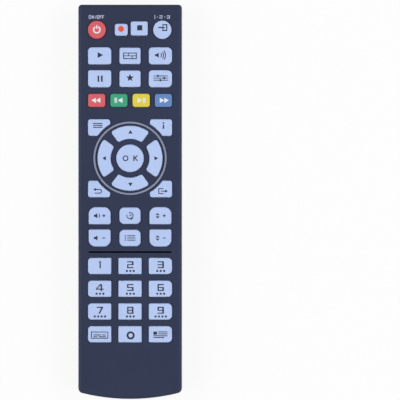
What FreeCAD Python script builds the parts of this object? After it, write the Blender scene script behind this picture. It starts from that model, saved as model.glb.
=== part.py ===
import FreeCAD
import Part
import math
import os

from FreeCAD import Vector

# A television remote control lying on its back, in millimetres. X runs to the right as seen
# from the keys, Y runs towards the infrared end, and Z points up out of the key face.
# The origin is on the table, under the middle of the case.

# Case
case_length = 184.5
case_width = 48.5
case_wall = 2.0
face_wall = 2.0
seam_z = 12.0
side_round = 9.0
end_round = 3.0
face_round = 1.4
top_corner = 1.7
bottom_corner = 2.5
bottom_bulge = 3.2
seam_groove = 0.35
lip_thick = 1.0
lip_height = 2.6
lip_gap = 0.1
snap_length = 5.4
snap_height = 1.0
snap_inset = 30.25
foot_height = 0.5
foot_width = 2.9
foot_length = 6.5
foot_edge_round = 0.2
upper_foot_inset = 2.35
upper_foot_drop = 10.65
lower_foot_inset = 5.75
lower_foot_gap = 3.5
least_corner = 0.4
end_flat = 0.02

# Keys
key_proud = 1.2
key_travel = 1.0
press_gap = 0.1
key_gap = 0.25
key_edge_round = 0.35
key_crown = 55.0
flange_grow = 0.55
flange_thick = 0.8
flange_gap = 0.1
plunger_radius = 2.4
small_plunger_radius = 2.0
pill_radius = 2.0
pill_thick = 0.5
pill_gap = 0.05
pill_inset = 0.1
key_side_margin = 4.6
column_gap = 3.3
colour_gap = 2.3
middle_key_width = 9.9
shuttle_key_height = 8.0
middle_key_height = 7.7
colour_key_height = 6.2
corner_key_width = 10.4
corner_key_height = 7.8
volume_key_width = 10.3
number_key_height = 7.6
power_radius = 4.225
source_radius = 4.3
record_share = 0.433
record_height = 5.6
stop_height = 6.6
stop_rise = 0.6
power_gap = 4.125
record_gap = 1.35
source_gap = 2.5
power_inset = 8.75
source_inset = 9.15
corner_key_round = 0.9
corner_plunger_out = 0.8
corner_plunger_up = 0.6

# Corner radii of the keys, top left, top right, bottom right, bottom left
small_corners = [1.0] * 4
soft_corners = [2.2] * 4
colour_corners = [1.2] * 4
menu_corners = [1.2] * 4
stop_corners = [0.8] * 4
play_corners = [1.8, 1.8, 1.0, 1.0]
pause_corners = [1.0, 1.0, 1.8, 1.8]
audio_corners = [1.6, 2.2, 2.2, 1.6]
volume_up_corners = [3.2, 3.2, 0.8, 0.8]
volume_down_corners = [0.8, 0.8, 3.2, 3.2]
left_column_corners = [1.6, 0.5, 0.5, 1.6]
middle_column_corners = [0.5] * 4
right_column_corners = [0.7, 2.1, 2.1, 0.7]

# Key rows, each from the one above it
power_row_drop = 11.85
shuttle_row_drop = 12.2
pause_row_drop = 10.7
colour_row_drop = 10.1
menu_row_drop = 12.7
volume_row_drop = 12.5
volume_pitch = 10.4
divider_drop = 6.6
number_row_drop = 6.5
number_pitch = 10.63

# Direction pad
ok_radius = 6.45
pad_inner = 9.05
pad_outer = 15.2
pad_half_angle = 36.5
pad_corner = 1.2
pad_to_menu = 14.35
ring_gap = 1.1
ring_width = 0.8
ring_proud = 0.45
ring_groove = 0.8
corner_key_clear = 1.3

# Divider line between the keys and the numbers
divider_margin = 4.75
divider_width = 0.9
divider_depth = 0.3

# Circuit board and keypad mat
board_thick = 1.2
board_margin = 1.25
board_gap = 0.3
board_end_gap = 0.4
pad_thick = 0.05
pad_slit = 0.5
mat_thick = 1.0
mat_margin = 0.5
mat_end_margin = 2.0
collar_inside = 0.15
collar_outside = 0.45
boss_radius = 2.2
boss_clear = 0.25
boss_inset = 2.8
upper_boss_drop = 4.55
screw_radius = 0.95
screw_hole_gap = 0.05
screw_head_radius = 1.9
screw_head_height = 1.2
screw_depth = 3.0
screw_end_gap = 0.5
cross_width = 0.5
cross_length = 2.2
cross_depth = 0.5

# Battery bay
cell_diameter = 10.5
cell_length = 44.5
cell_nub_radius = 1.9
cell_nub_height = 0.8
cell_edge_round = 0.4
cell_gap = 0.25
cell_spacing = 0.4
cell_side_gap = 0.4
bay_ceiling = 1.2
bay_side_wall = 2.0
bay_end_wall = 1.2
contact_thick = 0.4
contact_width = 9.4
contact_height = 8.6
contact_tab_width = 2.4
spring_length = 4.9
spring_wire = 0.6
spring_base = 7.5
spring_tip = 5.2
spring_turns = 3.5

# Battery door, with its latch at the upper end and its hooks at the lower one
door_thick = 1.8
door_gap = 0.15
door_ledge = 1.3
door_ledge_gap = 0.05
door_upper_corner = 2.5
door_lower_corner = 4.4
door_bulge = 0.6
door_to_case_end = 14.25
latch_zone = 5.3
hinge_zone = 5.4
hinge_rise = 0.1
shelf_thick = 1.0
hook_radius = 2.7
hook_thick = 0.8
hook_width = 4.0
hook_x = 5.6
hook_side_gap = 0.3
hook_rest_gap = 0.1
hook_root_sink = 0.5
notch_width = 10.0
notch_depth = 3.7
latch_width = 7.5
latch_thick = 0.8
latch_bend_radius = 1.3
latch_bend_rise = 7.0
latch_front_gap = 0.4
latch_tip_rise = 0.4
latch_split = 0.05
catch_width = 5.0
catch_reach = 0.55
catch_lip = 0.3
catch_height = 2.4
catch_gap = 0.2
catch_slope = 0.5

# Finger scoop and thumb recess in the back
scoop_radius = 22.0
scoop_straight = 16.0
scoop_bow = 72.0
scoop_depth = 3.0
scoop_from_door = 32.9
recess_width = 18.3
recess_height = 10.1
recess_depth_far = 0.4
recess_depth_door = 1.6
recess_wall = 1.5
recess_line_width = 0.4
recess_line_depth = 0.3

# Infrared window and diode
window_width = 17.0
window_height = 5.2
window_rise = 8.9
window_gap = 0.1
window_flange = 0.5
window_flange_thick = 0.8
diode_radius = 2.5
diode_flange_radius = 2.9
diode_flange_thick = 1.0
diode_length = 8.6
diode_gap = 0.5
lead_width = 0.5
lead_pitch = 2.54
lead_reach = 2.5
lead_hole_gap = 0.1

# How far a cut runs past the face it opens
cut_over = 1.0

# Parts on the underside of the board
chip_length = 12.8
chip_width = 7.5
chip_height = 2.3
chip_standoff = 0.1
chip_leg_count = 10
chip_leg_pitch = 1.27
chip_leg_width = 0.4
chip_leg_reach = 1.4
chip_leg_thick = 0.2
chip_foot_length = 0.7
chip_drop = 34.0
resonator_length = 7.6
resonator_width = 3.0
resonator_height = 5.0
resonator_standoff = 1.2
resonator_inset = 10.0
resonator_drop = 50.0
capacitor_radius = 2.5
capacitor_length = 7.0
capacitor_inset = 9.0
capacitor_drop = 26.0
resistor_length = 1.6
resistor_width = 0.8
resistor_height = 0.5
resistor_count = 8
resistor_pitch = 4.2
resistor_drop = 46.0
transistor_length = 2.9
transistor_width = 1.4
transistor_height = 1.0
transistor_x = 5.5
transistor_drop = 22.0

# Heights above the table, stacked from the back to the key tops
back_z = foot_height
floor_z = back_z + case_wall
door_top_z = back_z + door_thick
ledge_z = door_top_z + door_ledge_gap
cell_radius = cell_diameter / 2
cell_z = door_top_z + cell_gap + cell_radius
ceiling_z = cell_z + cell_radius + cell_gap
board_z = ceiling_z + bay_ceiling + board_gap
board_top_z = board_z + board_thick
mat_top_z = board_top_z + mat_thick
flange_z = mat_top_z + key_travel + press_gap
flange_top_z = flange_z + flange_thick
inner_face_z = flange_top_z + flange_gap
face_z = inner_face_z + face_wall
key_top_z = face_z + key_proud
pill_z = board_top_z + pad_thick + pill_gap + key_travel
pill_top_z = pill_z + pill_thick
lip_top_z = seam_z + lip_height

# Places along the case
case_top = case_length / 2
case_bottom = -case_length / 2
half_width = case_width / 2
flat_half = half_width - side_round
power_row = case_top - power_row_drop
shuttle_row = power_row - shuttle_row_drop
pause_row = shuttle_row - pause_row_drop
colour_row = pause_row - colour_row_drop
menu_row = colour_row - menu_row_drop
pad_y = menu_row - pad_to_menu
back_row = pad_y - pad_to_menu
volume_row = back_row - volume_row_drop
volume_low_row = volume_row - volume_pitch
divider_y = volume_low_row - divider_drop
number_row = divider_y - number_row_drop
last_row = number_row - 3 * number_pitch
upper_boss_y = case_top - upper_boss_drop
last_key_edge = last_row - number_key_height / 2
lower_boss_y = (last_key_edge + case_bottom + case_wall) / 2
board_half = half_width - case_wall - board_margin
board_top_y = case_top - case_wall - board_end_gap
board_bottom_y = lower_boss_y - screw_head_radius - board_margin
boss_x = board_half - boss_inset
resonator_x = board_half - resonator_inset
capacitor_x = capacitor_inset - board_half

# Places of the battery bay and its door
bay_length = 2 * contact_thick + spring_length + cell_length
bay_half = cell_spacing / 2 + cell_diameter + cell_side_gap
cell_x = (cell_diameter + cell_spacing) / 2
door_half = bay_half + door_ledge
bay_outer = bay_half + bay_side_wall
door_far = case_bottom + door_to_case_end
bay_far = door_far + hinge_zone + bay_end_wall
bay_near = bay_far + bay_length
door_y = bay_near + bay_end_wall + latch_zone
opening_near = door_y + door_gap
opening_far = door_far - door_gap
hinge_z = back_z + hinge_rise
hinge_y = door_far + door_top_z - hinge_z
scoop_y = door_y + scoop_from_door

# Places of the latch
latch_face = opening_near - latch_front_gap
latch_bend_y = latch_face - latch_thick - latch_bend_radius
latch_bend_z = back_z + latch_bend_rise
latch_outer = latch_bend_radius + latch_thick
catch_z = back_z + recess_depth_door + recess_wall + catch_gap


def box(x0, x1, y0, y1, z0, z1):
    return Part.makeBox(x1 - x0, y1 - y0, z1 - z0, Vector(x0, y0, z0))


def rod(radius, z0, z1, x=0.0, y=0.0):
    return Part.makeCylinder(radius, z1 - z0, Vector(x, y, z0))


def rod_x(radius, x0, x1, y, z):
    """A cylinder along X, with its seam line underneath."""
    return Part.makeCylinder(radius, x1 - x0, Vector(x1, y, z), Vector(-1, 0, 0))


def barrel_x(radius, straight, bow, reach, y, z):
    """A barrel along X: straight in its middle, then drawn in towards both ends by arcs of radius bow."""
    half = straight / 2

    def wall(x):
        run = max(abs(x) - half, 0)
        return Vector(x, y, z - radius + bow - math.sqrt(bow * bow - run * run))

    middle = (half + reach) / 2
    profile = [
        line(Vector(-reach, y, z), wall(-reach)),
        arc(wall(-reach), wall(-middle), wall(-half)),
        line(wall(-half), wall(half)),
        arc(wall(half), wall(middle), wall(reach)),
        line(wall(reach), Vector(reach, y, z)),
        line(Vector(reach, y, z), Vector(-reach, y, z)),
    ]
    return Part.Face(Part.Wire(profile)).revolve(Vector(0, y, z), Vector(1, 0, 0), 360)


def rod_y(radius, y0, y1, x, z):
    return Part.makeCylinder(radius, y1 - y0, Vector(x, y0, z), Vector(0, 1, 0))


def near(value, other):
    return abs(value - other) < 1e-5


def join(first, *others):
    return first.fuse(list(others)).removeSplitter()


def line(start, end):
    return Part.LineSegment(start, end).toShape()


def arc(start, middle, end):
    return Part.Arc(start, middle, end).toShape()


def extrude_z(edges, z0, z1):
    face = Part.Face(Part.Wire(edges))
    face.translate(Vector(0, 0, z0))
    return face.extrude(Vector(0, 0, z1 - z0))


def extrude_x(edges, x0, x1):
    face = Part.Face(Part.Wire(edges))
    face.translate(Vector(x0, 0, 0))
    return face.extrude(Vector(x1 - x0, 0, 0))


def polygon_x(points, x0, x1):
    """A polygon of (y, z) points, extruded along X."""
    corners = [Vector(0, y, z) for y, z in points]
    return extrude_x([Part.makePolygon(corners + corners[:1])], x0, x1)


def rounded_rectangle(x, y, width, height, radii, z0, z1, grow=0.0):
    """An upright block. The radii go top left, top right, bottom right, bottom left."""
    left = x - width / 2 - grow
    right = x + width / 2 + grow
    low = y - height / 2 - grow
    high = y + height / 2 + grow
    a, b, c, d = [radius + grow for radius in radii]
    middles = [
        (left + a, high - a, a, 180), (right - b, high - b, b, 90),
        (right - c, low + c, c, 0), (left + d, low + d, d, 270),
    ]
    edges = []
    last = Vector(left, low + d, 0)
    for middle_x, middle_y, radius, start in middles:
        points = []
        for turned in (0, 45, 90):
            angle = math.radians(start - turned)
            points.append(Vector(middle_x + radius * math.cos(angle), middle_y + radius * math.sin(angle), 0))
        edges += [line(last, points[0]), arc(*points)]
        last = points[2]
    return extrude_z(edges, z0, z1)


def round_upright_edges(solid, radius, wanted):
    """Round the upright edges whose place (x, y) is wanted."""
    edges = []
    for edge in solid.Edges:
        ends = [vertex.Point for vertex in edge.Vertexes]
        upright = len(ends) == 2 and near(ends[0].x, ends[1].x) and near(ends[0].y, ends[1].y)
        if upright and wanted(ends[0].x, ends[0].y):
            edges.append(edge)
    return solid.makeFillet(radius, edges)


def save(name, *solids):
    shape = solids[0] if len(solids) == 1 else Part.makeCompound(list(solids))
    assert shape.isValid(), name
    shape.exportStep("parts/" + name + ".step")
    print(f"{name}: {len(shape.Solids)} solids, {shape.Volume:.1f} mm3")


# The case outline and its halves

bulge_radius = (half_width ** 2 + bottom_bulge ** 2) / (2 * bottom_bulge)
bulge_y = case_bottom + bulge_radius


def case_outline(inset, z0, z1):
    """The case seen from the keys, drawn in by inset: a straight top end and a bowed bottom end."""
    half = half_width - inset
    radius = bulge_radius - inset
    top = case_top - inset
    side = bulge_y - math.sqrt(radius ** 2 - half ** 2)
    edges = [
        line(Vector(-half, side, 0), Vector(-half, top, 0)),
        line(Vector(-half, top, 0), Vector(half, top, 0)),
        line(Vector(half, top, 0), Vector(half, side, 0)),
        arc(Vector(half, side, 0), Vector(0, bulge_y - radius, 0), Vector(-half, side, 0)),
    ]
    block = extrude_z(edges, z0, z1)
    upper_round = max(top_corner - inset, least_corner)
    lower_round = max(bottom_corner - inset, least_corner)
    block = round_upright_edges(block, upper_round, lambda x, y: y > 0)
    return round_upright_edges(block, lower_round, lambda x, y: y < 0 and near(abs(x), half))


def rear_block(inset, z1):
    """The rear case as a full body, drawn in by inset: rounded along the sides and across both ends."""
    half = half_width - inset
    low = back_z + inset
    side = side_round - inset
    flat = half - side
    bend = side * (1 - math.sqrt(0.5))
    reach = case_length
    section = [
        line(Vector(-half, -reach, z1), Vector(half, -reach, z1)),
        line(Vector(half, -reach, z1), Vector(half, -reach, low + side)),
        arc(
            Vector(half, -reach, low + side),
            Vector(half - bend, -reach, low + bend),
            Vector(flat, -reach, low),
        ),
        line(Vector(flat, -reach, low), Vector(-flat, -reach, low)),
        arc(
            Vector(-flat, -reach, low),
            Vector(-half + bend, -reach, low + bend),
            Vector(-half, -reach, low + side),
        ),
        line(Vector(-half, -reach, low + side), Vector(-half, -reach, z1)),
    ]
    body = Part.Face(Part.Wire(section)).extrude(Vector(0, 2 * reach, 0))
    turn = end_round - inset
    upper = box(-case_width, case_width, case_bottom - case_width, case_top - inset, low, z1)
    upper = upper.makeFillet(turn, [
        edge for edge in upper.Edges
        if near(edge.CenterOfMass.y, case_top - inset) and near(edge.CenterOfMass.z, low)
    ])
    lower = rod(bulge_radius - inset, low, z1, 0, bulge_y)
    lower = lower.makeFillet(turn, [
        edge for edge in lower.Edges
        if len(edge.Vertexes) == 1 and near(edge.CenterOfMass.z, low)
    ])
    lower = lower.fuse(box(-half_width, half_width, bulge_y, reach, low, z1))
    return case_outline(inset, low, z1).common(body).common(upper).common(lower)


def both_sides(solid):
    """A solid and its mirror image on the other side of the middle plane."""
    return [solid, solid.mirror(Vector(0, 0, 0), Vector(1, 0, 0))]


def window_block(gap, y0, y1):
    half = window_width / 2 + gap
    return box(-half, half, y0, y1, window_rise - gap, window_rise + window_height + gap)


snap_z = seam_z + (lip_height - snap_height) / 2
snap_places = [snap_inset - case_top, 0.0, case_top - snap_inset]
boss_places = [(x, y) for y in (upper_boss_y, lower_boss_y) for x in (-boss_x, boss_x)]
window_seat = case_top - case_wall


# Keys. Each outline makes an upright block between two heights, grown by a margin.

def round_outline(x, y, radius):
    return lambda z0, z1, grow=0.0: rod(radius + grow, z0, z1, x, y)


def square_outline(x, y, width, height, radii):
    return lambda z0, z1, grow=0.0: rounded_rectangle(x, y, width, height, radii, z0, z1, grow)


def corner_outline(x, y):
    """A key beside the direction pad, with its inner corner cut round the ring."""
    def outline(z0, z1, grow=0.0):
        block = rounded_rectangle(
            x, y, corner_key_width, corner_key_height, menu_corners, z0, z1, grow
        )
        cut = corner_key_cut - grow
        block = block.cut(rod(cut, z0, z1, 0, pad_y))
        return round_upright_edges(
            block, corner_key_round + grow, lambda px, py: near(math.hypot(px, py - pad_y), cut)
        )
    return outline


def pad_outline(angle):
    """One of the four keys round OK, whose middle is at an angle from +X."""
    def outline(z0, z1, grow=0.0):
        half = math.radians(pad_half_angle)
        back = grow / math.sin(half)
        outer = pad_outer + grow
        reach = 2 * outer
        wedge = Part.makePolygon([
            Vector(-back, 0, z0),
            Vector(reach * math.cos(half) - back, -reach * math.sin(half), z0),
            Vector(reach * math.cos(half) - back, reach * math.sin(half), z0),
            Vector(-back, 0, z0),
        ])
        block = Part.Face(wedge).extrude(Vector(0, 0, z1 - z0))
        block = block.common(rod(outer, z0, z1).cut(rod(pad_inner - grow, z0, z1)))
        block = round_upright_edges(block, pad_corner + grow, lambda px, py: px > 0)
        block.rotate(Vector(0, 0, 0), Vector(0, 0, 1), angle)
        block.translate(Vector(0, pad_y, 0))
        return block
    return outline


ring_inner = pad_outer + ring_gap
ring_outer = ring_inner + ring_width
corner_key_cut = ring_outer + corner_key_clear
span_half = half_width - key_side_margin
column_width = (2 * span_half - 2 * column_gap) / 3
column_x = column_width + column_gap
colour_width = (2 * span_half - 3 * colour_gap) / 4
corner_key_x = span_half - corner_key_width / 2
pad_key_middle = (pad_inner + pad_outer) / 2

power_x = power_inset - half_width
source_x = half_width - source_inset
record_left = power_x + power_radius + power_gap
stop_right = source_x - source_radius - source_gap
record_width = record_share * (stop_right - record_left - record_gap)
stop_width = stop_right - record_left - record_gap - record_width
record_x = record_left + record_width / 2
stop_x = stop_right - stop_width / 2

keys = {}


def add_key(name, outline, x, y, plunger=plunger_radius):
    keys[name] = (outline, x, y, plunger)


def add_square_key(name, x, y, width, height, radii, plunger=plunger_radius):
    add_key(name, square_outline(x, y, width, height, radii), x, y, plunger)


add_key("key_power", round_outline(power_x, power_row, power_radius), power_x, power_row)
add_square_key(
    "key_record", record_x, power_row, record_width, record_height, colour_corners, small_plunger_radius
)
add_square_key("key_stop", stop_x, power_row + stop_rise, stop_width, stop_height, stop_corners)
add_key("key_source", round_outline(source_x, power_row, source_radius), source_x, power_row)

shuttle_rows = [
    (shuttle_row, ["key_play", "key_guide", "key_audio"], play_corners),
    (pause_row, ["key_pause", "key_favourite", "key_quick_menu"], pause_corners),
]
for row_y, names, left_radii in shuttle_rows:
    add_square_key(names[0], -column_x, row_y, column_width, shuttle_key_height, left_radii)
    add_square_key(names[1], 0.0, row_y, middle_key_width, middle_key_height, small_corners)
    add_square_key(names[2], column_x, row_y, column_width, shuttle_key_height, audio_corners)

for place, name in enumerate(["key_red", "key_green", "key_yellow", "key_blue"]):
    row_x = (place - 1.5) * (colour_width + colour_gap)
    add_square_key(name, row_x, colour_row, colour_width, colour_key_height, colour_corners)

corner_keys = [
    ("key_menu", -corner_key_x, menu_row), ("key_info", corner_key_x, menu_row),
    ("key_back", -corner_key_x, back_row), ("key_exit", corner_key_x, back_row),
]
for name, key_x, key_y in corner_keys:
    add_key(
        name, corner_outline(key_x, key_y),
        key_x + math.copysign(corner_plunger_out, key_x),
        key_y + math.copysign(corner_plunger_up, key_y - pad_y),
    )

add_key("key_ok", round_outline(0.0, pad_y, ok_radius), 0.0, pad_y)
for name, angle in [("key_right", 0), ("key_up", 90), ("key_left", 180), ("key_down", 270)]:
    turn = math.radians(angle)
    add_key(
        name, pad_outline(angle),
        pad_key_middle * math.cos(turn), pad_y + pad_key_middle * math.sin(turn),
    )

volume_rows = [
    (volume_row, ["key_volume_up", "key_recall", "key_channel_up"], volume_up_corners),
    (volume_low_row, ["key_volume_down", "key_channel_list", "key_channel_down"], volume_down_corners),
]
for row_y, names, radii in volume_rows:
    add_square_key(names[0], -column_x, row_y, volume_key_width, shuttle_key_height, radii)
    add_square_key(names[1], 0.0, row_y, middle_key_width, middle_key_height, soft_corners)
    add_square_key(names[2], column_x, row_y, volume_key_width, shuttle_key_height, radii)

number_names = ["1", "2", "3", "4", "5", "6", "7", "8", "9", "subtitle", "0", "text"]
column_corners = [left_column_corners, middle_column_corners, right_column_corners]
for place, name in enumerate(number_names):
    row, column = divmod(place, 3)
    add_square_key(
        "key_" + name, (column - 1) * column_x, number_row - row * number_pitch,
        column_width, number_key_height, column_corners[column],
    )


def make_key(outline, x, y, plunger):
    """A rubber key with its flange and plunger, and the carbon pill that closes the contact."""
    dome = Part.makeSphere(key_crown, Vector(x, y, key_top_z - key_crown), Vector(-1, 0, 0))
    cap = outline(flange_z, key_top_z + cut_over).common(dome)
    top = max(cap.Faces, key=lambda face: face.CenterOfMass.z)
    cap = cap.makeFillet(key_edge_round, top.Edges)
    flange = outline(flange_z, flange_top_z, flange_grow)
    key = join(cap, flange, rod(plunger, pill_top_z, flange_z, x, y))
    return key, rod(min(pill_radius, plunger - pill_inset), pill_z, pill_top_z, x, y)


def make_front_case():
    shell = case_outline(0, seam_z, face_z)
    shell = shell.makeFillet(face_round, [
        edge for edge in shell.Edges
        if near(edge.BoundBox.ZMin, face_z)
    ])
    shell = shell.cut(case_outline(case_wall, seam_z, inner_face_z))
    shell = shell.cut(case_outline(case_wall - lip_thick - lip_gap, seam_z, lip_top_z + lip_gap))
    bosses = [rod(boss_radius, board_top_z, inner_face_z, x, y) for x, y in boss_places]
    skin = half_width - (case_wall - lip_thick - lip_gap)
    snaps = []
    for y in snap_places:
        snaps += both_sides(box(
            skin - lip_thick, skin, y - snap_length / 2, y + snap_length / 2,
            snap_z, snap_z + snap_height,
        ))
    shell = join(shell, *bosses, *snaps)
    holes = [
        rod(screw_radius + screw_hole_gap, board_top_z, board_top_z + screw_depth, x, y)
        for x, y in boss_places
    ]
    holes.append(window_block(window_gap, window_seat - cut_over, case_top + cut_over))
    holes.append(ring_band(face_z - ring_groove, face_z + cut_over))
    divider_half = half_width - divider_margin
    holes.append(box(
        -divider_half, divider_half, divider_y - divider_width / 2, divider_y + divider_width / 2,
        face_z - divider_depth, face_z + cut_over,
    ))
    for outline, x, y, plunger in keys.values():
        holes.append(outline(inner_face_z - cut_over, face_z + cut_over, key_gap))
    return shell.cut(holes)


def ring_band(z0, z1):
    """The band between the two circles of the ring round the direction pad."""
    return rod(ring_outer, z0, z1, 0, pad_y).cut(rod(ring_inner, z0, z1, 0, pad_y))


def make_rear_case():
    inside = rear_block(case_wall, seam_z + cut_over)
    shell = rear_block(0, seam_z).cut(inside)
    lip = case_outline(case_wall - lip_thick, seam_z - lip_thick, lip_top_z).cut(
        case_outline(case_wall, seam_z - lip_thick, lip_top_z)
    )
    groove = case_outline(-cut_over, seam_z - seam_groove, seam_z).cut(
        case_outline(seam_groove, seam_z - seam_groove, seam_z)
    )
    scoop_z = back_z + scoop_depth - scoop_radius
    scoop = barrel_x(scoop_radius, scoop_straight, scoop_bow, case_width, scoop_y, scoop_z)
    scoop_pad = barrel_x(
        scoop_radius + case_wall, scoop_straight, scoop_bow + case_wall, half_width, scoop_y, scoop_z
    ).common(inside)
    recess_pad = recess_block(recess_wall, recess_wall).common(inside)
    bay_ends = (bay_far - bay_end_wall, bay_near + bay_end_wall)
    bay = [
        *both_sides(box(bay_half, bay_outer, bay_far, bay_near, ledge_z, ceiling_z)),
        box(-bay_outer, bay_outer, bay_ends[0], bay_far, ledge_z, ceiling_z),
        box(-bay_outer, bay_outer, bay_near, bay_ends[1], ledge_z, ceiling_z),
        box(-bay_outer, bay_outer, *bay_ends, ceiling_z, ceiling_z + bay_ceiling),
        box(-bay_outer, bay_outer, opening_far - shelf_thick, bay_far, floor_z, floor_z + shelf_thick),
        box(-bay_outer, bay_outer, bay_near, opening_near + shelf_thick, floor_z, floor_z + shelf_thick),
    ]
    feet = []
    for x, y in [
        (flat_half - upper_foot_inset, case_top - upper_foot_drop),
        (flat_half - lower_foot_inset, door_far - lower_foot_gap),
    ]:
        foot = rounded_rectangle(
            x, y, foot_width, foot_length, [(foot_width - end_flat) / 2] * 4, 0, back_z + case_wall / 2
        )
        lowest = [edge for edge in foot.Edges if near(edge.BoundBox.ZMax, 0)]
        feet += both_sides(foot.makeFillet(foot_edge_round, lowest))
    body = join(shell, lip, scoop_pad, recess_pad, *bay, *feet)
    cuts = [
        groove,
        scoop,
        recess_block(0, 0),
        recess_block(0, recess_line_depth).cut(recess_block(-recess_line_width, case_wall)),
        door_block(door_gap, 0, ledge_z),
        box(-bay_half, bay_half, bay_far, bay_near, 0, ceiling_z),
        box(
            -notch_width / 2 - door_gap, notch_width / 2 + door_gap,
            bay_near + bay_end_wall + door_gap, opening_near, 0, ceiling_z,
        ),
        window_block(window_gap, window_seat - cut_over, case_top + cut_over),
        window_block(window_flange + window_gap, window_seat - cut_over, window_seat + lip_thick),
    ]
    for y in snap_places:
        cuts += both_sides(box(
            half_width - case_wall - cut_over, half_width, y - snap_length / 2 - 2 * lip_gap,
            y + snap_length / 2 + 2 * lip_gap, snap_z - lip_gap, snap_z + snap_height + lip_gap,
        ))
    hook_reach = hook_radius + hook_thick + hook_rest_gap
    for side in (-1, 1):
        slot_low = side * hook_x - hook_width / 2 - hook_side_gap
        slot_high = side * hook_x + hook_width / 2 + hook_side_gap
        slot_end = bay_far - bay_end_wall
        cuts.append(box(slot_low, slot_high, opening_far, slot_end, back_z, floor_z + shelf_thick))
        cuts.append(box(
            slot_low, slot_high, hinge_y - hook_reach, slot_end, floor_z, floor_z + shelf_thick,
        ))
    for x, y in contact_tab_places:
        cuts.append(box(
            x - contact_tab_width / 2 - door_gap, x + contact_tab_width / 2 + door_gap,
            y - door_gap, y + contact_thick + door_gap, ceiling_z, ceiling_z + bay_ceiling,
        ))
    return body.cut(cuts)


contact_tab_places = [(-cell_x, bay_near - contact_thick), (cell_x, bay_near - contact_thick)]


def recess_block(grow, rise):
    """The thumb recess, or the thickened floor over it: a round-ended block with a sloping top."""
    half = recess_width / 2
    far = door_y + recess_height
    plan = rod(half + grow, 0, face_z, 0, far - half)
    plan = plan.fuse(box(-half - grow, half + grow, opening_near - shelf_thick / 2, far - half, 0, face_z))
    slope = polygon_x([
        (opening_near - shelf_thick, 0), (far + grow, 0),
        (far + grow, back_z + recess_depth_far + rise),
        (door_y, back_z + recess_depth_door + rise),
        (opening_near - shelf_thick, back_z + recess_depth_door + rise),
    ], -half_width, half_width)
    return plan.common(slope)


def door_block(grow, z0, z1):
    """The door seen from behind: small upper corners, large lower ones and a slightly bowed end."""
    half = door_half + grow
    top = door_y + grow
    far = door_far - grow
    corner = door_lower_corner + grow
    upper = door_upper_corner + grow
    block = rounded_rectangle(
        0, (top + far) / 2, 2 * half, top - far, [upper, upper, corner, corner], z0, z1
    )
    bow = (half ** 2 + door_bulge ** 2) / (2 * door_bulge)
    return block.common(rod(bow, z0, z1, 0, far + bow).fuse(box(-half, half, hinge_y, top, z0, z1)))


def make_door():
    plate = door_block(0, back_z, door_top_z)
    turn = door_top_z - hinge_z
    side_view = [
        line(Vector(0, door_y, back_z), Vector(0, door_y, door_top_z)),
        line(Vector(0, door_y, door_top_z), Vector(0, hinge_y, door_top_z)),
        arc(
            Vector(0, hinge_y, door_top_z),
            Vector(0, hinge_y - turn * math.sqrt(0.5), hinge_z + turn * math.sqrt(0.5)),
            Vector(0, door_far, hinge_z),
        ),
        line(Vector(0, door_far, hinge_z), Vector(0, door_far, back_z)),
        line(Vector(0, door_far, back_z), Vector(0, door_y, back_z)),
    ]
    plate = plate.common(extrude_x(side_view, -case_width, case_width))
    plate = plate.cut(box(
        -notch_width / 2, notch_width / 2, door_y - notch_depth, door_y + cut_over, 0, floor_z,
    ))
    hooks = [make_hook(side * hook_x) for side in (-1, 1)]
    leg_y = latch_bend_y - latch_outer
    leg = box(
        -latch_width / 2, latch_width / 2, leg_y, leg_y + latch_thick,
        back_z + door_thick / 2, latch_bend_z,
    )
    return join(plate, *hooks, leg, half_bend(-1))


def make_hook(x):
    """A curved finger round the door's pivot line, which reaches over the edge of the case floor."""
    outer = hook_radius + hook_thick
    tip = math.pi - math.asin((floor_z - hinge_z + hook_rest_gap) / hook_radius)
    root = math.asin((door_top_z - hinge_z - hook_root_sink) / outer)
    middle = (tip + root) / 2

    def at(radius, angle):
        return Vector(0, hinge_y + radius * math.cos(angle), hinge_z + radius * math.sin(angle))

    edges = [
        arc(at(outer, root), at(outer, middle), at(outer, tip)),
        line(at(outer, tip), at(hook_radius, tip)),
        arc(at(hook_radius, tip), at(hook_radius, middle), at(hook_radius, root)),
        line(at(hook_radius, root), at(outer, root)),
    ]
    return extrude_x(edges, x - hook_width / 2, x + hook_width / 2)


def half_bend(side):
    """Half of the latch's round bend, on the door's side (-1) or the latch's side (1)."""
    half = latch_width / 2
    ring = rod_x(latch_outer, -half, half, latch_bend_y, latch_bend_z).cut(
        rod_x(latch_bend_radius, -half, half, latch_bend_y, latch_bend_z)
    )
    start = latch_bend_y + (latch_split if side > 0 else -latch_outer)
    end = latch_bend_y + (latch_outer if side > 0 else 0)
    return ring.common(box(-half, half, start, end, latch_bend_z, latch_bend_z + latch_outer))


def make_latch():
    leg = box(
        -latch_width / 2, latch_width / 2, latch_face - latch_thick, latch_face,
        back_z + latch_tip_rise, latch_bend_z,
    )
    catch_tip = opening_near + catch_reach
    catch = polygon_x([
        (latch_face - latch_thick / 2, catch_z),
        (latch_face, catch_z),
        (catch_tip, catch_z + catch_slope),
        (catch_tip, catch_z + catch_slope + catch_lip),
        (latch_face - latch_thick / 2, catch_z + catch_height),
    ], -catch_width / 2, catch_width / 2)
    return join(leg, catch, half_bend(1))


def make_mat():
    sheet = box(
        -board_half + mat_margin, board_half - mat_margin,
        lower_boss_y + boss_radius + boss_clear, board_top_y - mat_end_margin, board_top_z, mat_top_z,
    )
    sheet = sheet.cut([
        rod(boss_radius + boss_clear, board_top_z, mat_top_z, x, y) for x, y in boss_places if y > 0
    ])
    collars = [
        outline(board_top_z, flange_z, collar_outside) for outline, x, y, plunger in keys.values()
    ]
    wells = [
        outline(mat_top_z, flange_z + cut_over, -collar_inside) for outline, x, y, plunger in keys.values()
    ]
    wells += [
        rod(plunger + collar_outside, board_top_z - cut_over, flange_z + cut_over, x, y)
        for outline, x, y, plunger in keys.values()
    ]
    return join(sheet, *collars).cut(wells)


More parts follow.
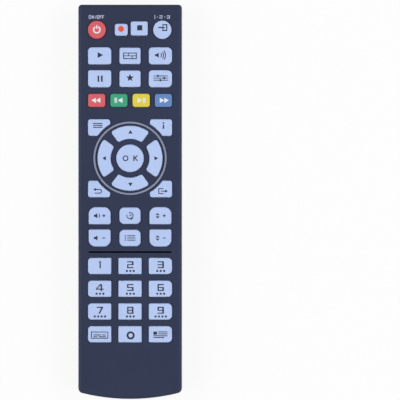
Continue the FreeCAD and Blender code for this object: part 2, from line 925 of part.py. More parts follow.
def make_board():
    board = box(-board_half, board_half, board_bottom_y, board_top_y, board_z, board_top_z)
    board = round_upright_edges(board, case_wall, lambda x, y: True)
    board = board.common(case_outline(case_wall + board_end_gap, board_z, board_top_z))
    holes = [
        rod(screw_radius + screw_hole_gap, board_z, board_top_z, x, y) for x, y in boss_places
    ]
    lead_hole = lead_width * math.sqrt(0.5) + lead_hole_gap
    holes += [
        rod(lead_hole, board_z, board_top_z, x, diode_back - lead_reach)
        for x in (-lead_pitch / 2, lead_pitch / 2)
    ]
    return board.cut(holes)


def make_contact_pads():
    """Two half discs of carbon print under each key."""
    pads = []
    for outline, x, y, plunger in keys.values():
        disc = rod(plunger, board_top_z, board_top_z + pad_thick, x, y)
        slit = box(
            x - pad_slit / 2, x + pad_slit / 2, y - plunger, y + plunger,
            board_top_z, board_top_z + pad_thick,
        )
        pads += disc.cut(slit).Solids
    return pads


def make_screws():
    screws = []
    for x, y in boss_places:
        head = rod(screw_head_radius, board_z - screw_head_height, board_z, x, y)
        shank = rod(screw_radius, board_z, board_top_z + screw_depth - screw_end_gap, x, y)
        slots = []
        for across, along in [(cross_width, cross_length), (cross_length, cross_width)]:
            slots.append(box(
                x - across / 2, x + across / 2, y - along / 2, y + along / 2,
                board_z - screw_head_height, board_z - screw_head_height + cross_depth,
            ))
        screws.append(join(head, shank).cut(slots))
    return screws


def make_window():
    pane = window_block(0, window_seat, case_top)
    flange = window_block(window_flange, window_seat - window_flange_thick, window_seat)
    return join(pane, flange)


diode_z = window_rise + window_height / 2
diode_tip = window_seat - window_flange_thick - diode_gap
diode_back = diode_tip - diode_length


def make_diode():
    dome_y = diode_tip - diode_radius
    body = [
        Part.makeSphere(diode_radius, Vector(0, dome_y, diode_z)),
        rod_y(diode_radius, diode_back, dome_y, 0, diode_z),
        rod_y(diode_flange_radius, diode_back, diode_back + diode_flange_thick, 0, diode_z),
    ]
    leads = []
    for x in (-lead_pitch / 2, lead_pitch / 2):
        half = lead_width / 2
        bend = diode_back - lead_reach
        leads += [
            box(x - half, x + half, bend - half, diode_back, diode_z - half, diode_z + half),
            box(x - half, x + half, bend - half, bend + half, diode_z, board_top_z),
        ]
    return join(*body, *leads)


def make_chip():
    y = case_top - chip_drop
    body = box(
        -chip_length / 2, chip_length / 2, y - chip_width / 2, y + chip_width / 2,
        board_z - chip_standoff - chip_height, board_z - chip_standoff,
    )
    foot_z = board_z - chip_standoff - chip_height / 2
    legs = []
    for place in range(chip_leg_count):
        x = (place - (chip_leg_count - 1) / 2) * chip_leg_pitch
        for side in (-1, 1):
            leg = box(
                x - chip_leg_width / 2, x + chip_leg_width / 2, 0, chip_leg_reach,
                foot_z - chip_leg_thick / 2, foot_z + chip_leg_thick / 2,
            )
            foot = box(
                x - chip_leg_width / 2, x + chip_leg_width / 2,
                chip_leg_reach - chip_foot_length, chip_leg_reach, foot_z, board_z,
            )
            leg = join(leg, foot)
            leg.translate(Vector(0, chip_width / 2, 0))
            if side < 0:
                leg = leg.mirror(Vector(0, 0, 0), Vector(0, 1, 0))
            leg.translate(Vector(0, y, 0))
            legs.append(leg)
    return join(body, *legs)


def leads_up(x, y, from_z, pitch):
    """Two wires from a part up into the board's underside."""
    return [
        rod(lead_width / 2, from_z, board_z, x + offset, y) for offset in (-pitch / 2, pitch / 2)
    ]


def make_resonator():
    y = case_top - resonator_drop
    body = rounded_rectangle(
        resonator_x, y, resonator_length, resonator_width, [(resonator_width - end_flat) / 2] * 4,
        board_z - resonator_height, board_z - resonator_standoff,
    )
    return join(body, *leads_up(resonator_x, y, board_z - resonator_height / 2, 2 * lead_pitch))


def make_capacitor():
    y = case_top - capacitor_drop
    z = board_z - capacitor_radius
    can = rod_y(capacitor_radius, y - capacitor_length / 2, y + capacitor_length / 2, capacitor_x, z)
    can = can.makeFillet(lead_width, [edge for edge in can.Edges if len(edge.Vertexes) == 1])
    back = y - capacitor_length / 2
    leads = []
    for x in (capacitor_x - lead_pitch / 2, capacitor_x + lead_pitch / 2):
        leads += [
            box(
                x - lead_width / 2, x + lead_width / 2, back - 2 * lead_width, back + lead_width,
                z - lead_width / 2, z + lead_width / 2,
            ),
            box(
                x - lead_width / 2, x + lead_width / 2, back - 2 * lead_width, back - lead_width,
                z - lead_width / 2, board_z,
            ),
        ]
    return join(can, *leads)


def make_small_parts():
    parts = []
    for place in range(resistor_count):
        x = (place - (resistor_count - 1) / 2) * resistor_pitch
        y = case_top - resistor_drop + resistor_pitch * (place % 2)
        parts.append(box(
            x - resistor_length / 2, x + resistor_length / 2,
            y - resistor_width / 2, y + resistor_width / 2, board_z - resistor_height, board_z,
        ))
    y = case_top - transistor_drop
    parts.append(box(
        transistor_x - transistor_length / 2, transistor_x + transistor_length / 2,
        y - transistor_width / 2, y + transistor_width / 2, board_z - transistor_height, board_z,
    ))
    return parts


def make_cell(x, nub_end, turn):
    """One cell from its nub end, which faces +Y (turn 1) or -Y (turn -1)."""
    shoulder = nub_end - turn * cell_nub_height
    base = nub_end - turn * cell_length
    can = rod_y(cell_radius, min(shoulder, base), max(shoulder, base), x, cell_z)
    can = can.makeFillet(cell_edge_round, [edge for edge in can.Edges if len(edge.Vertexes) == 1])
    nub = rod_y(cell_nub_radius, min(shoulder, nub_end), max(shoulder, nub_end), x, cell_z)
    return join(can, nub)


def contact_plate(x0, x1, y):
    """A nickel plate that stands against an end wall of the bay, its low face at y."""
    return box(x0, x1, y, y + contact_thick, cell_z - contact_height / 2, cell_z + contact_height / 2)


def contact_tab(x, y):
    return box(
        x - contact_tab_width / 2, x + contact_tab_width / 2, y, y + contact_thick,
        cell_z + contact_height / 2, board_z,
    )


def tangent_arcs(start, start_way, end, end_way):
    """Two arcs from start to end that meet smoothly and leave and arrive along the given ways."""
    chord = end - start
    ways = start_way + end_way
    square = 2 * (start_way.dot(end_way) - 1)
    share = chord.dot(ways)
    reach = (share - math.sqrt(share ** 2 - square * chord.dot(chord))) / square
    first_apex = start + start_way * reach
    last_apex = end - end_way * reach
    joint = (first_apex + last_apex) / 2
    edges = []
    for low, apex, high in [(start, first_apex, joint), (joint, last_apex, end)]:
        middle = (low + high) / 2
        spread = (high - low).Length / 2 / reach
        edges.append(arc(low, apex + (middle - apex) / (1 + spread), high))
    return edges


def make_spring(x, base_y, turn):
    """A conical battery spring, wide at its plate and narrow at the cell, as one unbroken wire."""
    radius_fall = (spring_base - spring_tip) / 2
    rise = spring_length - spring_wire
    whole = 2 * math.pi * spring_turns

    def at(angle):
        radius = (spring_base - spring_wire) / 2 - radius_fall * angle / whole
        along = base_y + turn * (spring_wire / 2 + rise * angle / whole)
        return Vector(x + radius * math.cos(angle), along, cell_z + radius * math.sin(angle))

    def way(angle):
        step = 1e-4
        return (at(angle + step) - at(angle - step)).normalize()

    steps = round(spring_turns * 4)
    angles = [whole * step / steps for step in range(steps + 1)]
    edges = []
    for low, high in zip(angles, angles[1:]):
        edges += tangent_arcs(at(low), way(low), at(high), way(high))
    path = Part.Wire(edges)
    end_ring = Part.Wire(Part.makeCircle(spring_wire / 2, at(0), way(0)))
    wire = path.makePipeShell([end_ring], True, False)
    turns_apart = min(
        (at(a) - at(b)).Length
        for a in angles for b in angles if b - a > 1.5 * math.pi
    )
    print(f"spring: least gap to itself {turns_apart - spring_wire:.2f} mm")
    return wire


def main():
    os.makedirs("parts", exist_ok=True)
    save("front_case", make_front_case())
    save("rear_case", make_rear_case())
    save("battery_door", make_door())
    save("door_latch", make_latch())
    save("keypad_mat", make_mat())
    save("circuit_board", make_board())
    save("contact_pads", *make_contact_pads())
    save("board_screws", *make_screws())
    save("ir_window", make_window())
    save("ir_led", make_diode())
    save("controller_chip", make_chip())
    save("resonator", make_resonator())
    save("capacitor", make_capacitor())
    save("smd_parts", *make_small_parts())
    save("nav_ring", ring_band(face_z - ring_groove, face_z + ring_proud))
    near_plate = bay_near - contact_thick
    save(
        "battery_cells",
        make_cell(-cell_x, near_plate, 1),
        make_cell(cell_x, bay_far + contact_thick, -1),
    )
    half = contact_width / 2
    save("positive_contact", join(
        contact_plate(-cell_x - half, -cell_x + half, near_plate), contact_tab(-cell_x, near_plate)
    ))
    save("negative_contact", join(
        contact_plate(cell_x - half, cell_x + half, near_plate), contact_tab(cell_x, near_plate)
    ), make_spring(cell_x, near_plate, -1))
    save(
        "bridge_contact",
        contact_plate(-cell_x - half, cell_x + half, bay_far),
        make_spring(-cell_x, bay_far + contact_thick, 1),
    )
    for name, key in keys.items():
        save(name, *make_key(*key))


main()
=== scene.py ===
"""A television remote control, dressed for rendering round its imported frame.

Blender works in metres, and the drawings of the printed marks are in millimetres. X runs to the
right as seen from the keys, Y towards the infrared end and Z out of the key face. The remote
lies on its back, on a floor at Z = 0.
"""

import logging
import math
from collections.abc import Callable, Iterable, Sequence
from dataclasses import dataclass, field
from enum import Enum

import bmesh
import bpy
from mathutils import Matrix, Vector
from mathutils.bvhtree import BVHTree
from mathutils.geometry import delaunay_2d_cdt

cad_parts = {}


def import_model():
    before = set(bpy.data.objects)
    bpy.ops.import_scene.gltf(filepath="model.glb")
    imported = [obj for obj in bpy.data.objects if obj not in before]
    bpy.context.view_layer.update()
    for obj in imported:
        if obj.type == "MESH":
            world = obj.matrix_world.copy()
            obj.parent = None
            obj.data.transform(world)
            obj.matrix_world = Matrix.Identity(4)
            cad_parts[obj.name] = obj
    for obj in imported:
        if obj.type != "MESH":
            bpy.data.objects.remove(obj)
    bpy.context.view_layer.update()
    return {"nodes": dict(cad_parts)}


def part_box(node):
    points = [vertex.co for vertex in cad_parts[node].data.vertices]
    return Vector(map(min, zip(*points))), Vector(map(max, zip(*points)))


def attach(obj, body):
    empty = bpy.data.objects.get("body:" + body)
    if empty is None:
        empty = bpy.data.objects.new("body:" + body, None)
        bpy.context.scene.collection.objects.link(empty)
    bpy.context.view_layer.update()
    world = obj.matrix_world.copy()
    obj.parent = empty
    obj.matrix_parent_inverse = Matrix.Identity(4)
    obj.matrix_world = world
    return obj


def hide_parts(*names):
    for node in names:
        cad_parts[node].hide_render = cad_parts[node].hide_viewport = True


MM = 0.001
LOG = logging.getLogger("remote")

Point = tuple[float, float]
Colour = tuple[float, float, float, float]
Feed = bpy.types.NodeSocket | float | Sequence[float]


def srgb(red: int, green: int, blue: int) -> Colour:
    """The linear colour of an 8-bit screen colour.

    Args:
        red: Red, 0 to 255.
        green: Green, 0 to 255.
        blue: Blue, 0 to 255.

    Returns:
        Linear red, green, blue and an alpha of 1.
    """
    linear = []
    for value in (red, green, blue):
        share = value / 255
        linear.append(share / 12.92 if share <= 0.04045 else ((share + 0.055) / 1.055) ** 2.4)
    return (linear[0], linear[1], linear[2], 1.0)


def dimmed(colour: Colour, share: float) -> Colour:
    """A colour with its light scaled.

    Args:
        colour: The colour.
        share: The share of its light that is kept.

    Returns:
        The scaled colour.
    """
    return (share * colour[0], share * colour[1], share * colour[2], 1.0)


def placed(name: str, data: bpy.types.ID) -> bpy.types.Object:
    """Puts new data into the scene.

    Args:
        name: The object's name.
        data: Its mesh, light or camera.

    Returns:
        The object.
    """
    made = bpy.data.objects.new(name, data)
    bpy.context.scene.collection.objects.link(made)
    return made


def drawn_mesh(name: str, sheet: bmesh.types.BMesh) -> bpy.types.Mesh:
    """Turns a finished sheet of faces into a mesh.

    Args:
        name: The mesh's name.
        sheet: The faces. They are used up.

    Returns:
        The mesh.
    """
    mesh = bpy.data.meshes.new(name)
    sheet.to_mesh(mesh)
    sheet.free()
    return mesh


def middle_of(node: str) -> Vector:
    """The middle of a node's box at rest, in millimetres."""
    low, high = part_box(node)
    return (low + high) / 2 / MM


@dataclass
class Bench:
    """Adds nodes to one shader tree and wires them."""

    tree: bpy.types.NodeTree

    @classmethod
    def on(cls, owner: bpy.types.Material | bpy.types.World) -> "Bench":
        """Clears the shader tree of a material or a world.

        Args:
            owner: The material or the world.

        Returns:
            A bench for its empty tree.
        """
        owner.use_nodes = True
        owner.node_tree.nodes.clear()
        return cls(owner.node_tree)

    def node(self, kind: str, **settings: object) -> bpy.types.Node:
        """Adds a shader node.

        Args:
            kind: The node's type, without its ShaderNode prefix.
            settings: Properties to set on it.

        Returns:
            The new node.
        """
        made = self.tree.nodes.new("ShaderNode" + kind)
        for name, value in settings.items():
            setattr(made, name, value)
        return made

    def feed(self, socket: bpy.types.NodeSocket, value: Feed) -> None:
        """Links a socket to another one, or sets it to a constant.

        Args:
            socket: The input to feed.
            value: An output to link from, or a constant.
        """
        if isinstance(value, bpy.types.NodeSocket):
            self.tree.links.new(value, socket)
        else:
            socket.default_value = value

    def calc(self, operation: str, first: Feed, second: Feed = 0.0) -> bpy.types.NodeSocket:
        """One step of arithmetic.

        Args:
            operation: The Math node's operation.
            first: The first number.
            second: The second number.

        Returns:
            The result's socket.
        """
        made = self.node("Math", operation=operation)
        self.feed(made.inputs[0], first)
        self.feed(made.inputs[1], second)
        return made.outputs[0]

    def remap(
        self, value: Feed, low: float, high: float, new_low: float = 0.0, new_high: float = 1.0
    ) -> bpy.types.NodeSocket:
        """Stretches a value from one range to another and clamps it.

        Args:
            value: The value.
            low: Where the old range starts.
            high: Where it ends.
            new_low: What low becomes.
            new_high: What high becomes.

        Returns:
            The stretched value's socket.
        """
        made = self.node("MapRange")
        for socket, number in zip(made.inputs, (value, low, high, new_low, new_high)):
            self.feed(socket, number)
        return made.outputs["Result"]

    def blend(self, factor: Feed, first: Feed, second: Feed) -> bpy.types.NodeSocket:
        """Mixes two colours.

        Args:
            factor: 0 for the first colour, 1 for the second.
            first: The first colour.
            second: The second colour.

        Returns:
            The mixed colour's socket.
        """
        made = self.node("Mix", data_type="RGBA")
        self.feed(made.inputs["Factor"], factor)
        self.feed(made.inputs[6], first)
        self.feed(made.inputs[7], second)
        return made.outputs[2]

    def noise(
        self, vector: Feed, scale: Feed, detail: float = 2.0, roughness: float = 0.5
    ) -> bpy.types.NodeSocket:
        """A smooth noise.

        Args:
            vector: Where it is read.
            scale: How many bumps it has in a metre.
            detail: How many finer layers it has.
            roughness: How strong those layers are.

        Returns:
            The noise's value, about 0.5 on average.
        """
        made = self.node("TexNoise")
        self.feed(made.inputs["Vector"], vector)
        self.feed(made.inputs["Scale"], scale)
        made.inputs["Detail"].default_value = detail
        made.inputs["Roughness"].default_value = roughness
        return made.outputs["Fac"]

    def spots(self, vector: Feed, scale: Feed, soft: float = 0.0) -> bpy.types.NodeSocket:
        """The distance to the nearest of many scattered points.

        Args:
            vector: Where it is read.
            scale: How many points there are along a metre.
            soft: How far the points' cells flow into each other, 0 to 1.

        Returns:
            The distance's socket.
        """
        made = self.node("TexVoronoi", feature="SMOOTH_F1" if soft else "F1")
        self.feed(made.inputs["Vector"], vector)
        self.feed(made.inputs["Scale"], scale)
        if soft:
            made.inputs["Smoothness"].default_value = soft
        return made.outputs["Distance"]

    def axes(self, vector: bpy.types.NodeSocket) -> bpy.types.NodeOutputs:
        """Takes a vector apart.

        Args:
            vector: The vector.

        Returns:
            Its parts, named X, Y and Z.
        """
        made = self.node("SeparateXYZ")
        self.feed(made.inputs[0], vector)
        return made.outputs

    def layer(self, factor: Feed, first: Feed, second: Feed) -> bpy.types.NodeSocket:
        """Mixes two shaders.

        Args:
            factor: 0 for the first shader, 1 for the second.
            first: The first shader.
            second: The second shader.

        Returns:
            The mixed shader's socket.
        """
        made = self.node("MixShader")
        for socket, value in zip(made.inputs, (factor, first, second)):
            self.feed(socket, value)
        return made.outputs[0]

    def stretch(self, vector: Feed, scales: Sequence[float]) -> bpy.types.NodeSocket:
        """Scales a vector along its axes.

        Args:
            vector: The vector.
            scales: A factor for each axis.

        Returns:
            The scaled vector's socket.
        """
        made = self.node("Mapping")
        self.feed(made.inputs["Vector"], vector)
        made.inputs["Scale"].default_value = scales
        return made.outputs["Vector"]

    def effect(self, group: bpy.types.NodeTree, **inputs: Feed) -> bpy.types.Node:
        """Places a shared effect.

        Args:
            group: The effect's node group.
            inputs: A value for each named input.

        Returns:
            The group node, whose outputs hold the effect.
        """
        made = self.node("Group", node_tree=group)
        for name, value in inputs.items():
            self.feed(made.inputs[name], value)
        return made


@dataclass
class Effects:
    """The node groups that several materials share."""

    sole_height: float = 0.45 * MM
    grain: bpy.types.NodeTree = field(init=False)
    wear: bpy.types.NodeTree = field(init=False)
    crevice: bpy.types.NodeTree = field(init=False)
    hollow: bpy.types.NodeTree = field(init=False)
    handling: bpy.types.NodeTree = field(init=False)
    lint: bpy.types.NodeTree = field(init=False)
    drawn: bpy.types.NodeTree = field(init=False)

    def __post_init__(self) -> None:
        """Builds each group once."""
        self.grain = self._grain()
        self.wear = self._wear()
        self.crevice = self._crevice()
        self.hollow = self._hollow()
        self.handling = self._handling()
        self.lint = self._lint()
        self.drawn = self._drawn()

    @staticmethod
    def _start(
        name: str, inputs: dict[str, str], outputs: dict[str, str]
    ) -> tuple[Bench, bpy.types.Node, bpy.types.Node]:
        """Opens a new group.

        Args:
            name: The group's name.
            inputs: Socket types by input name.
            outputs: Socket types by output name.

        Returns:
            A bench for the group, its input node and its output node.
        """
        tree = bpy.data.node_groups.new(name, "ShaderNodeTree")
        for title, kind in inputs.items():
            tree.interface.new_socket(title, in_out="INPUT", socket_type="NodeSocket" + kind)
        for title, kind in outputs.items():
            tree.interface.new_socket(title, in_out="OUTPUT", socket_type="NodeSocket" + kind)
        entry = tree.nodes.new("NodeGroupInput")
        leave = tree.nodes.new("NodeGroupOutput")
        return Bench(tree), entry, leave

    def _grain(self) -> bpy.types.NodeTree:
        """The pebbled texture of a spark-eroded mould.

        Returns:
            A group that turns Vector and Scale into Height and Fleck.
        """
        bench, entry, leave = self._start(
            "moulded_grain", {"Vector": "Vector", "Scale": "Float"},
            {"Height": "Float", "Fleck": "Float"},
        )
        vector, scale = entry.outputs["Vector"], entry.outputs["Scale"]
        pebbles = bench.spots(vector, scale, soft=0.6)
        fine = bench.noise(vector, bench.calc("MULTIPLY", scale, 2.3))
        height = bench.calc("ADD", pebbles, bench.calc("MULTIPLY", fine, 0.6))
        bench.feed(leave.inputs["Height"], height)
        bench.feed(leave.inputs["Fleck"], bench.remap(fine, 0.3, 0.7))
        return bench.tree

    def _wear(self) -> bpy.types.NodeTree:
        """A mask of convex edges, which finishes tint for abrasion and as painted light: a painted
        highlight where lighter, painted shade where darker.

        Returns:
            A group that turns Vector and Radius into a Mask of the convex edges.
        """
        bench, entry, leave = self._start(
            "edge_wear_and_painted_light_mask", {"Vector": "Vector", "Radius": "Float"}, {"Mask": "Float"}
        )
        rounded = bench.node("Bevel", samples=4)
        bench.feed(rounded.inputs["Radius"], entry.outputs["Radius"])
        facing = bench.node("NewGeometry")
        align = bench.node("VectorMath", operation="DOT_PRODUCT")
        bench.feed(align.inputs[0], rounded.outputs["Normal"])
        bench.feed(align.inputs[1], facing.outputs["Normal"])
        edge = bench.remap(align.outputs["Value"], 0.997, 0.88)
        patches = bench.remap(bench.noise(entry.outputs["Vector"], 260.0, 4.0), 0.35, 0.62, 0.6, 1.0)
        bench.feed(leave.inputs["Mask"], bench.calc("MULTIPLY", edge, patches))
        return bench.tree

    def _crevice(self) -> bpy.types.NodeTree:
        """The painted shade in gaps and at the foot of walls, from ambient occlusion.

        Returns:
            A group that turns Vector and Reach into a Mask of painted shade in hidden places, and a Sole
            mask of the faces nearest the table.
        """
        bench, entry, leave = self._start(
            "crevice_shade", {"Vector": "Vector", "Reach": "Float"},
            {"Mask": "Float", "Sole": "Float"},
        )
        open_sky = bench.node("AmbientOcclusion", samples=8)
        bench.feed(open_sky.inputs["Distance"], entry.outputs["Reach"])
        hidden = bench.remap(open_sky.outputs["AO"], 0.92, 0.3)
        level = bench.axes(entry.outputs["Vector"])["Z"]
        above = bench.remap(level, self.sole_height * 0.5, self.sole_height)
        bench.feed(leave.inputs["Mask"], bench.calc("MULTIPLY", hidden, above))
        bench.feed(leave.inputs["Sole"], bench.calc("SUBTRACT", 1.0, above))
        return bench.tree

    def _hollow(self) -> bpy.types.NodeTree:
        """The shade at the foot of a moulded step, whatever else is near it.

        Returns:
            A group that turns Vector and Reach into a Mask of the piece's own inner corners, above
            the plane that faces the table.
        """
        bench, entry, leave = self._start(
            "hollow_shade", {"Vector": "Vector", "Reach": "Float"}, {"Mask": "Float"}
        )
        own_sky = bench.node("AmbientOcclusion", samples=16, only_local=True)
        bench.feed(own_sky.inputs["Distance"], entry.outputs["Reach"])
        hidden = bench.remap(own_sky.outputs["AO"], 0.97, 0.72)
        level = bench.axes(entry.outputs["Vector"])["Z"]
        sunk = bench.remap(level, self.sole_height * 1.2, self.sole_height * 1.6)
        bench.feed(leave.inputs["Mask"], bench.calc("MULTIPLY", hidden, sunk))
        return bench.tree

    def _handling(self) -> bpy.types.NodeTree:
        """The uneven gloss that hands leave.

        Returns:
            A group that turns Vector into a broad Shade and a streaky Smudge.
        """
        bench, entry, leave = self._start(
            "handling", {"Vector": "Vector"}, {"Shade": "Float", "Smudge": "Float"}
        )
        vector = entry.outputs["Vector"]
        bench.feed(leave.inputs["Shade"], bench.remap(bench.noise(vector, 28.0, 3.0), 0.3, 0.7))
        streaks = bench.stretch(vector, (1.0, 0.35, 1.0))
        bench.feed(leave.inputs["Smudge"], bench.remap(bench.noise(streaks, 120.0, 5.0, 0.6), 0.4, 0.75))
        return bench.tree

    def _lint(self) -> bpy.types.NodeTree:
        """Fine dust that settles on what faces up.

        Returns:
            A group that turns Vector into a Mask of the dust.
        """
        bench, entry, leave = self._start("settled_lint", {"Vector": "Vector"}, {"Mask": "Float"})
        vector = entry.outputs["Vector"]
        near = bench.remap(bench.spots(vector, 900.0), 0.16, 0.08)
        rare = bench.remap(bench.noise(vector, 340.0, 3.0), 0.6, 0.7)
        facing = bench.axes(bench.node("NewGeometry").outputs["Normal"])
        level = bench.remap(facing["Z"], 0.7, 0.95)
        mask = bench.calc("MULTIPLY", bench.calc("MULTIPLY", near, rare), level)
        bench.feed(leave.inputs["Mask"], mask)
        return bench.tree

    def _drawn(self) -> bpy.types.NodeTree:
        """The fine lines of rolled or drawn metal.

        Returns:
            A group that turns Vector into Height and Tarnish.
        """
        bench, entry, leave = self._start(
            "drawn_metal", {"Vector": "Vector"}, {"Height": "Float", "Tarnish": "Float"}
        )
        vector = entry.outputs["Vector"]
        lines = bench.noise(bench.stretch(vector, (1.0, 14.0, 14.0)), 700.0, 3.0)
        bench.feed(leave.inputs["Height"], lines)
        bench.feed(leave.inputs["Tarnish"], bench.remap(bench.noise(vector, 500.0, 4.0), 0.45, 0.7))
        return bench.tree


@dataclass(frozen=True)
class Coating:
    """A material in the making."""

    bench: Bench
    shader: bpy.types.Node
    vector: bpy.types.NodeSocket
    effects: Effects

    def effect(self, group: bpy.types.NodeTree, **inputs: Feed) -> bpy.types.NodeOutputs:
        """Places a shared effect over the piece.

        Args:
            group: The effect's node group.
            inputs: A value for each of its inputs apart from Vector.

        Returns:
            The effect's named outputs.
        """
        return self.bench.effect(group, Vector=self.vector, **inputs).outputs

    def feed(self, socket: str, value: Feed) -> None:
        """Links a socket of the shader, or sets it to a constant.

        Args:
            socket: The socket's name.
            value: An output to link from, or a constant.
        """
        self.bench.feed(self.shader.inputs[socket], value)

    def emboss(self, height: Feed, depth: float) -> None:
        """Sends a height to the shader as a bump.

        Args:
            height: The height, 0 to 1.
            depth: The depth of the relief in metres.
        """
        bump = self.bench.node("Bump")
        bump.inputs["Distance"].default_value = depth
        self.bench.feed(bump.inputs["Height"], height)
        self.feed("Normal", bump.outputs["Normal"])


@dataclass(frozen=True)
class Finish:
    """A named surface finish, which knows how to make its own material."""

    name: str
    colour: Colour
    roughness: float

    def material(self, effects: Effects) -> bpy.types.Material:
        """Makes the material.

        Args:
            effects: The shared effects.

        Returns:
            A new material with its own Principled shader.
        """
        made = bpy.data.materials.new(self.name)
        bench = Bench.on(made)
        shader = bench.node("BsdfPrincipled")
        shader.inputs["Roughness"].default_value = self.roughness
        self.dress(Coating(bench, shader, bench.node("TexCoord").outputs["Object"], effects))
        bench.feed(bench.node("OutputMaterial").inputs["Surface"], shader.outputs["BSDF"])
        return made

    def dress(self, coat: Coating) -> None:
        """Wires the finish into its material.

        Args:
            coat: The material in the making.
        """
        raise NotImplementedError

    def roughen(self, coat: Coating, mask: Feed, change: float) -> None:
        """Lets the roughness drift from the finish's own value.

        Args:
            coat: The material in the making.
            mask: 0 where the roughness is the finish's own, 1 where it has changed.
            change: By how much it has changed there.
        """
        rough = coat.bench.remap(mask, 0.0, 1.0, self.roughness, self.roughness + change)
        coat.feed("Roughness", rough)


@dataclass(frozen=True)
class MouldedPlastic(Finish):
    """Matt moulded plastic, with edges partly scuffed and partly painted light, painted shade in gaps
    and steps, and a painted highlight on the soles.
    """

    # Edge colour: partly scuffing, partly painted light.
    worn: Colour
    shade: Colour
    # Painted highlight: the soles' lighter colour.
    sole: Colour = srgb(71, 82, 100)
    dust: Colour = srgb(150, 152, 160)
    grain_size: float = 0.42 * MM
    grain_depth: float = 0.012 * MM
    wear_radius: float = 0.35 * MM
    wear: float = 0.35
    crevice_reach: float = 0.9 * MM
    crevice_depth: float = 0.85
    hollow_reach: float = 1.4 * MM
    hollow_depth: float = 0.0
    gloss: float = 0.35
    smudge: float = 0.1
    polish_worn: float = 0.2
    gleam: Colour = (1.0, 1.0, 1.0, 1.0)
    # Painted shade: the finger scoop's lighter middle, against its darker edges.
    polish: Colour = (1.0, 1.0, 1.0, 1.0)
    polish_at: tuple[float, float, float] = (0.0, 0.0, 0.0)
    polish_reach: float = 0.0

    def dress(self, coat: Coating) -> None:
        """Wires grain, handling marks, dust, the edges' scuffing and painted light, painted shade in
        gaps and steps, and the soles' painted highlight.

        Args:
            coat: The material in the making.
        """
        bench = coat.bench
        grain = coat.effect(coat.effects.grain, Scale=1 / self.grain_size)
        hands = coat.effect(coat.effects.handling)
        wear = coat.effect(coat.effects.wear, Radius=self.wear_radius)
        lint = coat.effect(coat.effects.lint)
        shade = bench.calc("MULTIPLY", hands["Shade"], 0.5)
        shade = bench.calc("ADD", shade, bench.calc("MULTIPLY", grain["Fleck"], 0.5))
        colour = bench.blend(shade, dimmed(self.colour, 0.86), dimmed(self.colour, 1.14))
        # Painted shade in the finger scoop: its middle is painted lighter than its edges.
        if self.polish_reach:
            colour = bench.blend(self.rubbed(coat), colour, self.polish)
        # Edge colour: partly scuffing, partly painted light; lighter as a painted highlight on the face
        # shell, darker as painted shade on the back shell and the scoop.
        worn = bench.calc("MULTIPLY", wear["Mask"], self.wear)
        colour = bench.blend(worn, colour, self.worn)
        # Painted shade: the colour darkens where ambient occlusion finds gaps and the foot of walls.
        gaps = coat.effect(coat.effects.crevice, Reach=self.crevice_reach)
        hidden = bench.calc("MULTIPLY", gaps["Mask"], self.crevice_depth)
        colour = bench.blend(hidden, colour, self.shade)
        if self.hollow_depth:
            steps = coat.effect(coat.effects.hollow, Reach=self.hollow_reach)
            foot = bench.calc("MULTIPLY", steps["Mask"], self.hollow_depth)
            colour = bench.blend(foot, colour, self.shade)
        # Painted highlight: the soles are painted lighter.
        colour = bench.blend(bench.calc("MULTIPLY", gaps["Sole"], 0.7), colour, self.sole)
        dusty = bench.calc("MULTIPLY", lint["Mask"], 0.3)
        coat.feed("Base Color", bench.blend(dusty, colour, self.dust))
        touched = self.roughness - self.smudge
        rough = bench.remap(hands["Smudge"], 0.0, 1.0, self.roughness, touched)
        rough = bench.calc("SUBTRACT", rough, bench.calc("MULTIPLY", worn, self.polish_worn))
        coat.feed("Roughness", rough)
        coat.feed("Specular IOR Level", self.gloss)
        coat.feed("Specular Tint", self.gleam)
        coat.emboss(grain["Height"], self.grain_depth)

    def rubbed(self, coat: Coating) -> bpy.types.NodeSocket:
        """Masks the painted shade of a recess: lighter along a line across the piece, darker towards its
        edge.

        Args:
            coat: The material in the making.

        Returns:
            The mask's socket, 1 along the line and 0 from polish_reach on.
        """
        away = coat.bench.node("VectorMath", operation="DISTANCE")
        flat = (0.4, 1.0, 0.0)
        coat.bench.feed(away.inputs[0], coat.bench.stretch(coat.vector, flat))
        away.inputs[1].default_value = [place * scale for place, scale in zip(self.polish_at, flat)]
        return coat.bench.remap(away.outputs["Value"], self.polish_reach, 0.0)


@dataclass(frozen=True)
class SiliconeRubber(Finish):
    """Dyed silicone with a lacquered, silky top that greys a little where it is pressed, and painted
    shade along its rims.
    """

    # Painted shade on the key edges.
    rim: Colour
    gloss: float = 0.35
    silk: float = 0.05
    skin_size: float = 0.16 * MM
    skin_depth: float = 0.003 * MM
    rim_radius: float = 0.45 * MM

    def dress(self, coat: Coating) -> None:
        """Wires a cloudy dye, painted shade on the edges and a fine skin.

        Args:
            coat: The material in the making.
        """
        bench = coat.bench
        skin = coat.effect(coat.effects.grain, Scale=1 / self.skin_size)
        hands = coat.effect(coat.effects.handling)
        edge = coat.effect(coat.effects.wear, Radius=self.rim_radius)
        cloud = bench.calc("MULTIPLY", hands["Shade"], 0.6)
        cloud = bench.calc("ADD", cloud, bench.calc("MULTIPLY", skin["Fleck"], 0.4))
        colour = bench.blend(cloud, dimmed(self.colour, 0.93), self.colour)
        # Painted shade: the key's edges are painted darker.
        coat.feed("Base Color", bench.blend(bench.calc("MULTIPLY", edge["Mask"], 0.7), colour, self.rim))
        self.roughen(coat, hands["Smudge"], -0.12)
        coat.feed("Specular IOR Level", self.gloss)
        coat.feed("Sheen Weight", self.silk)
        coat.emboss(skin["Height"], self.skin_depth)


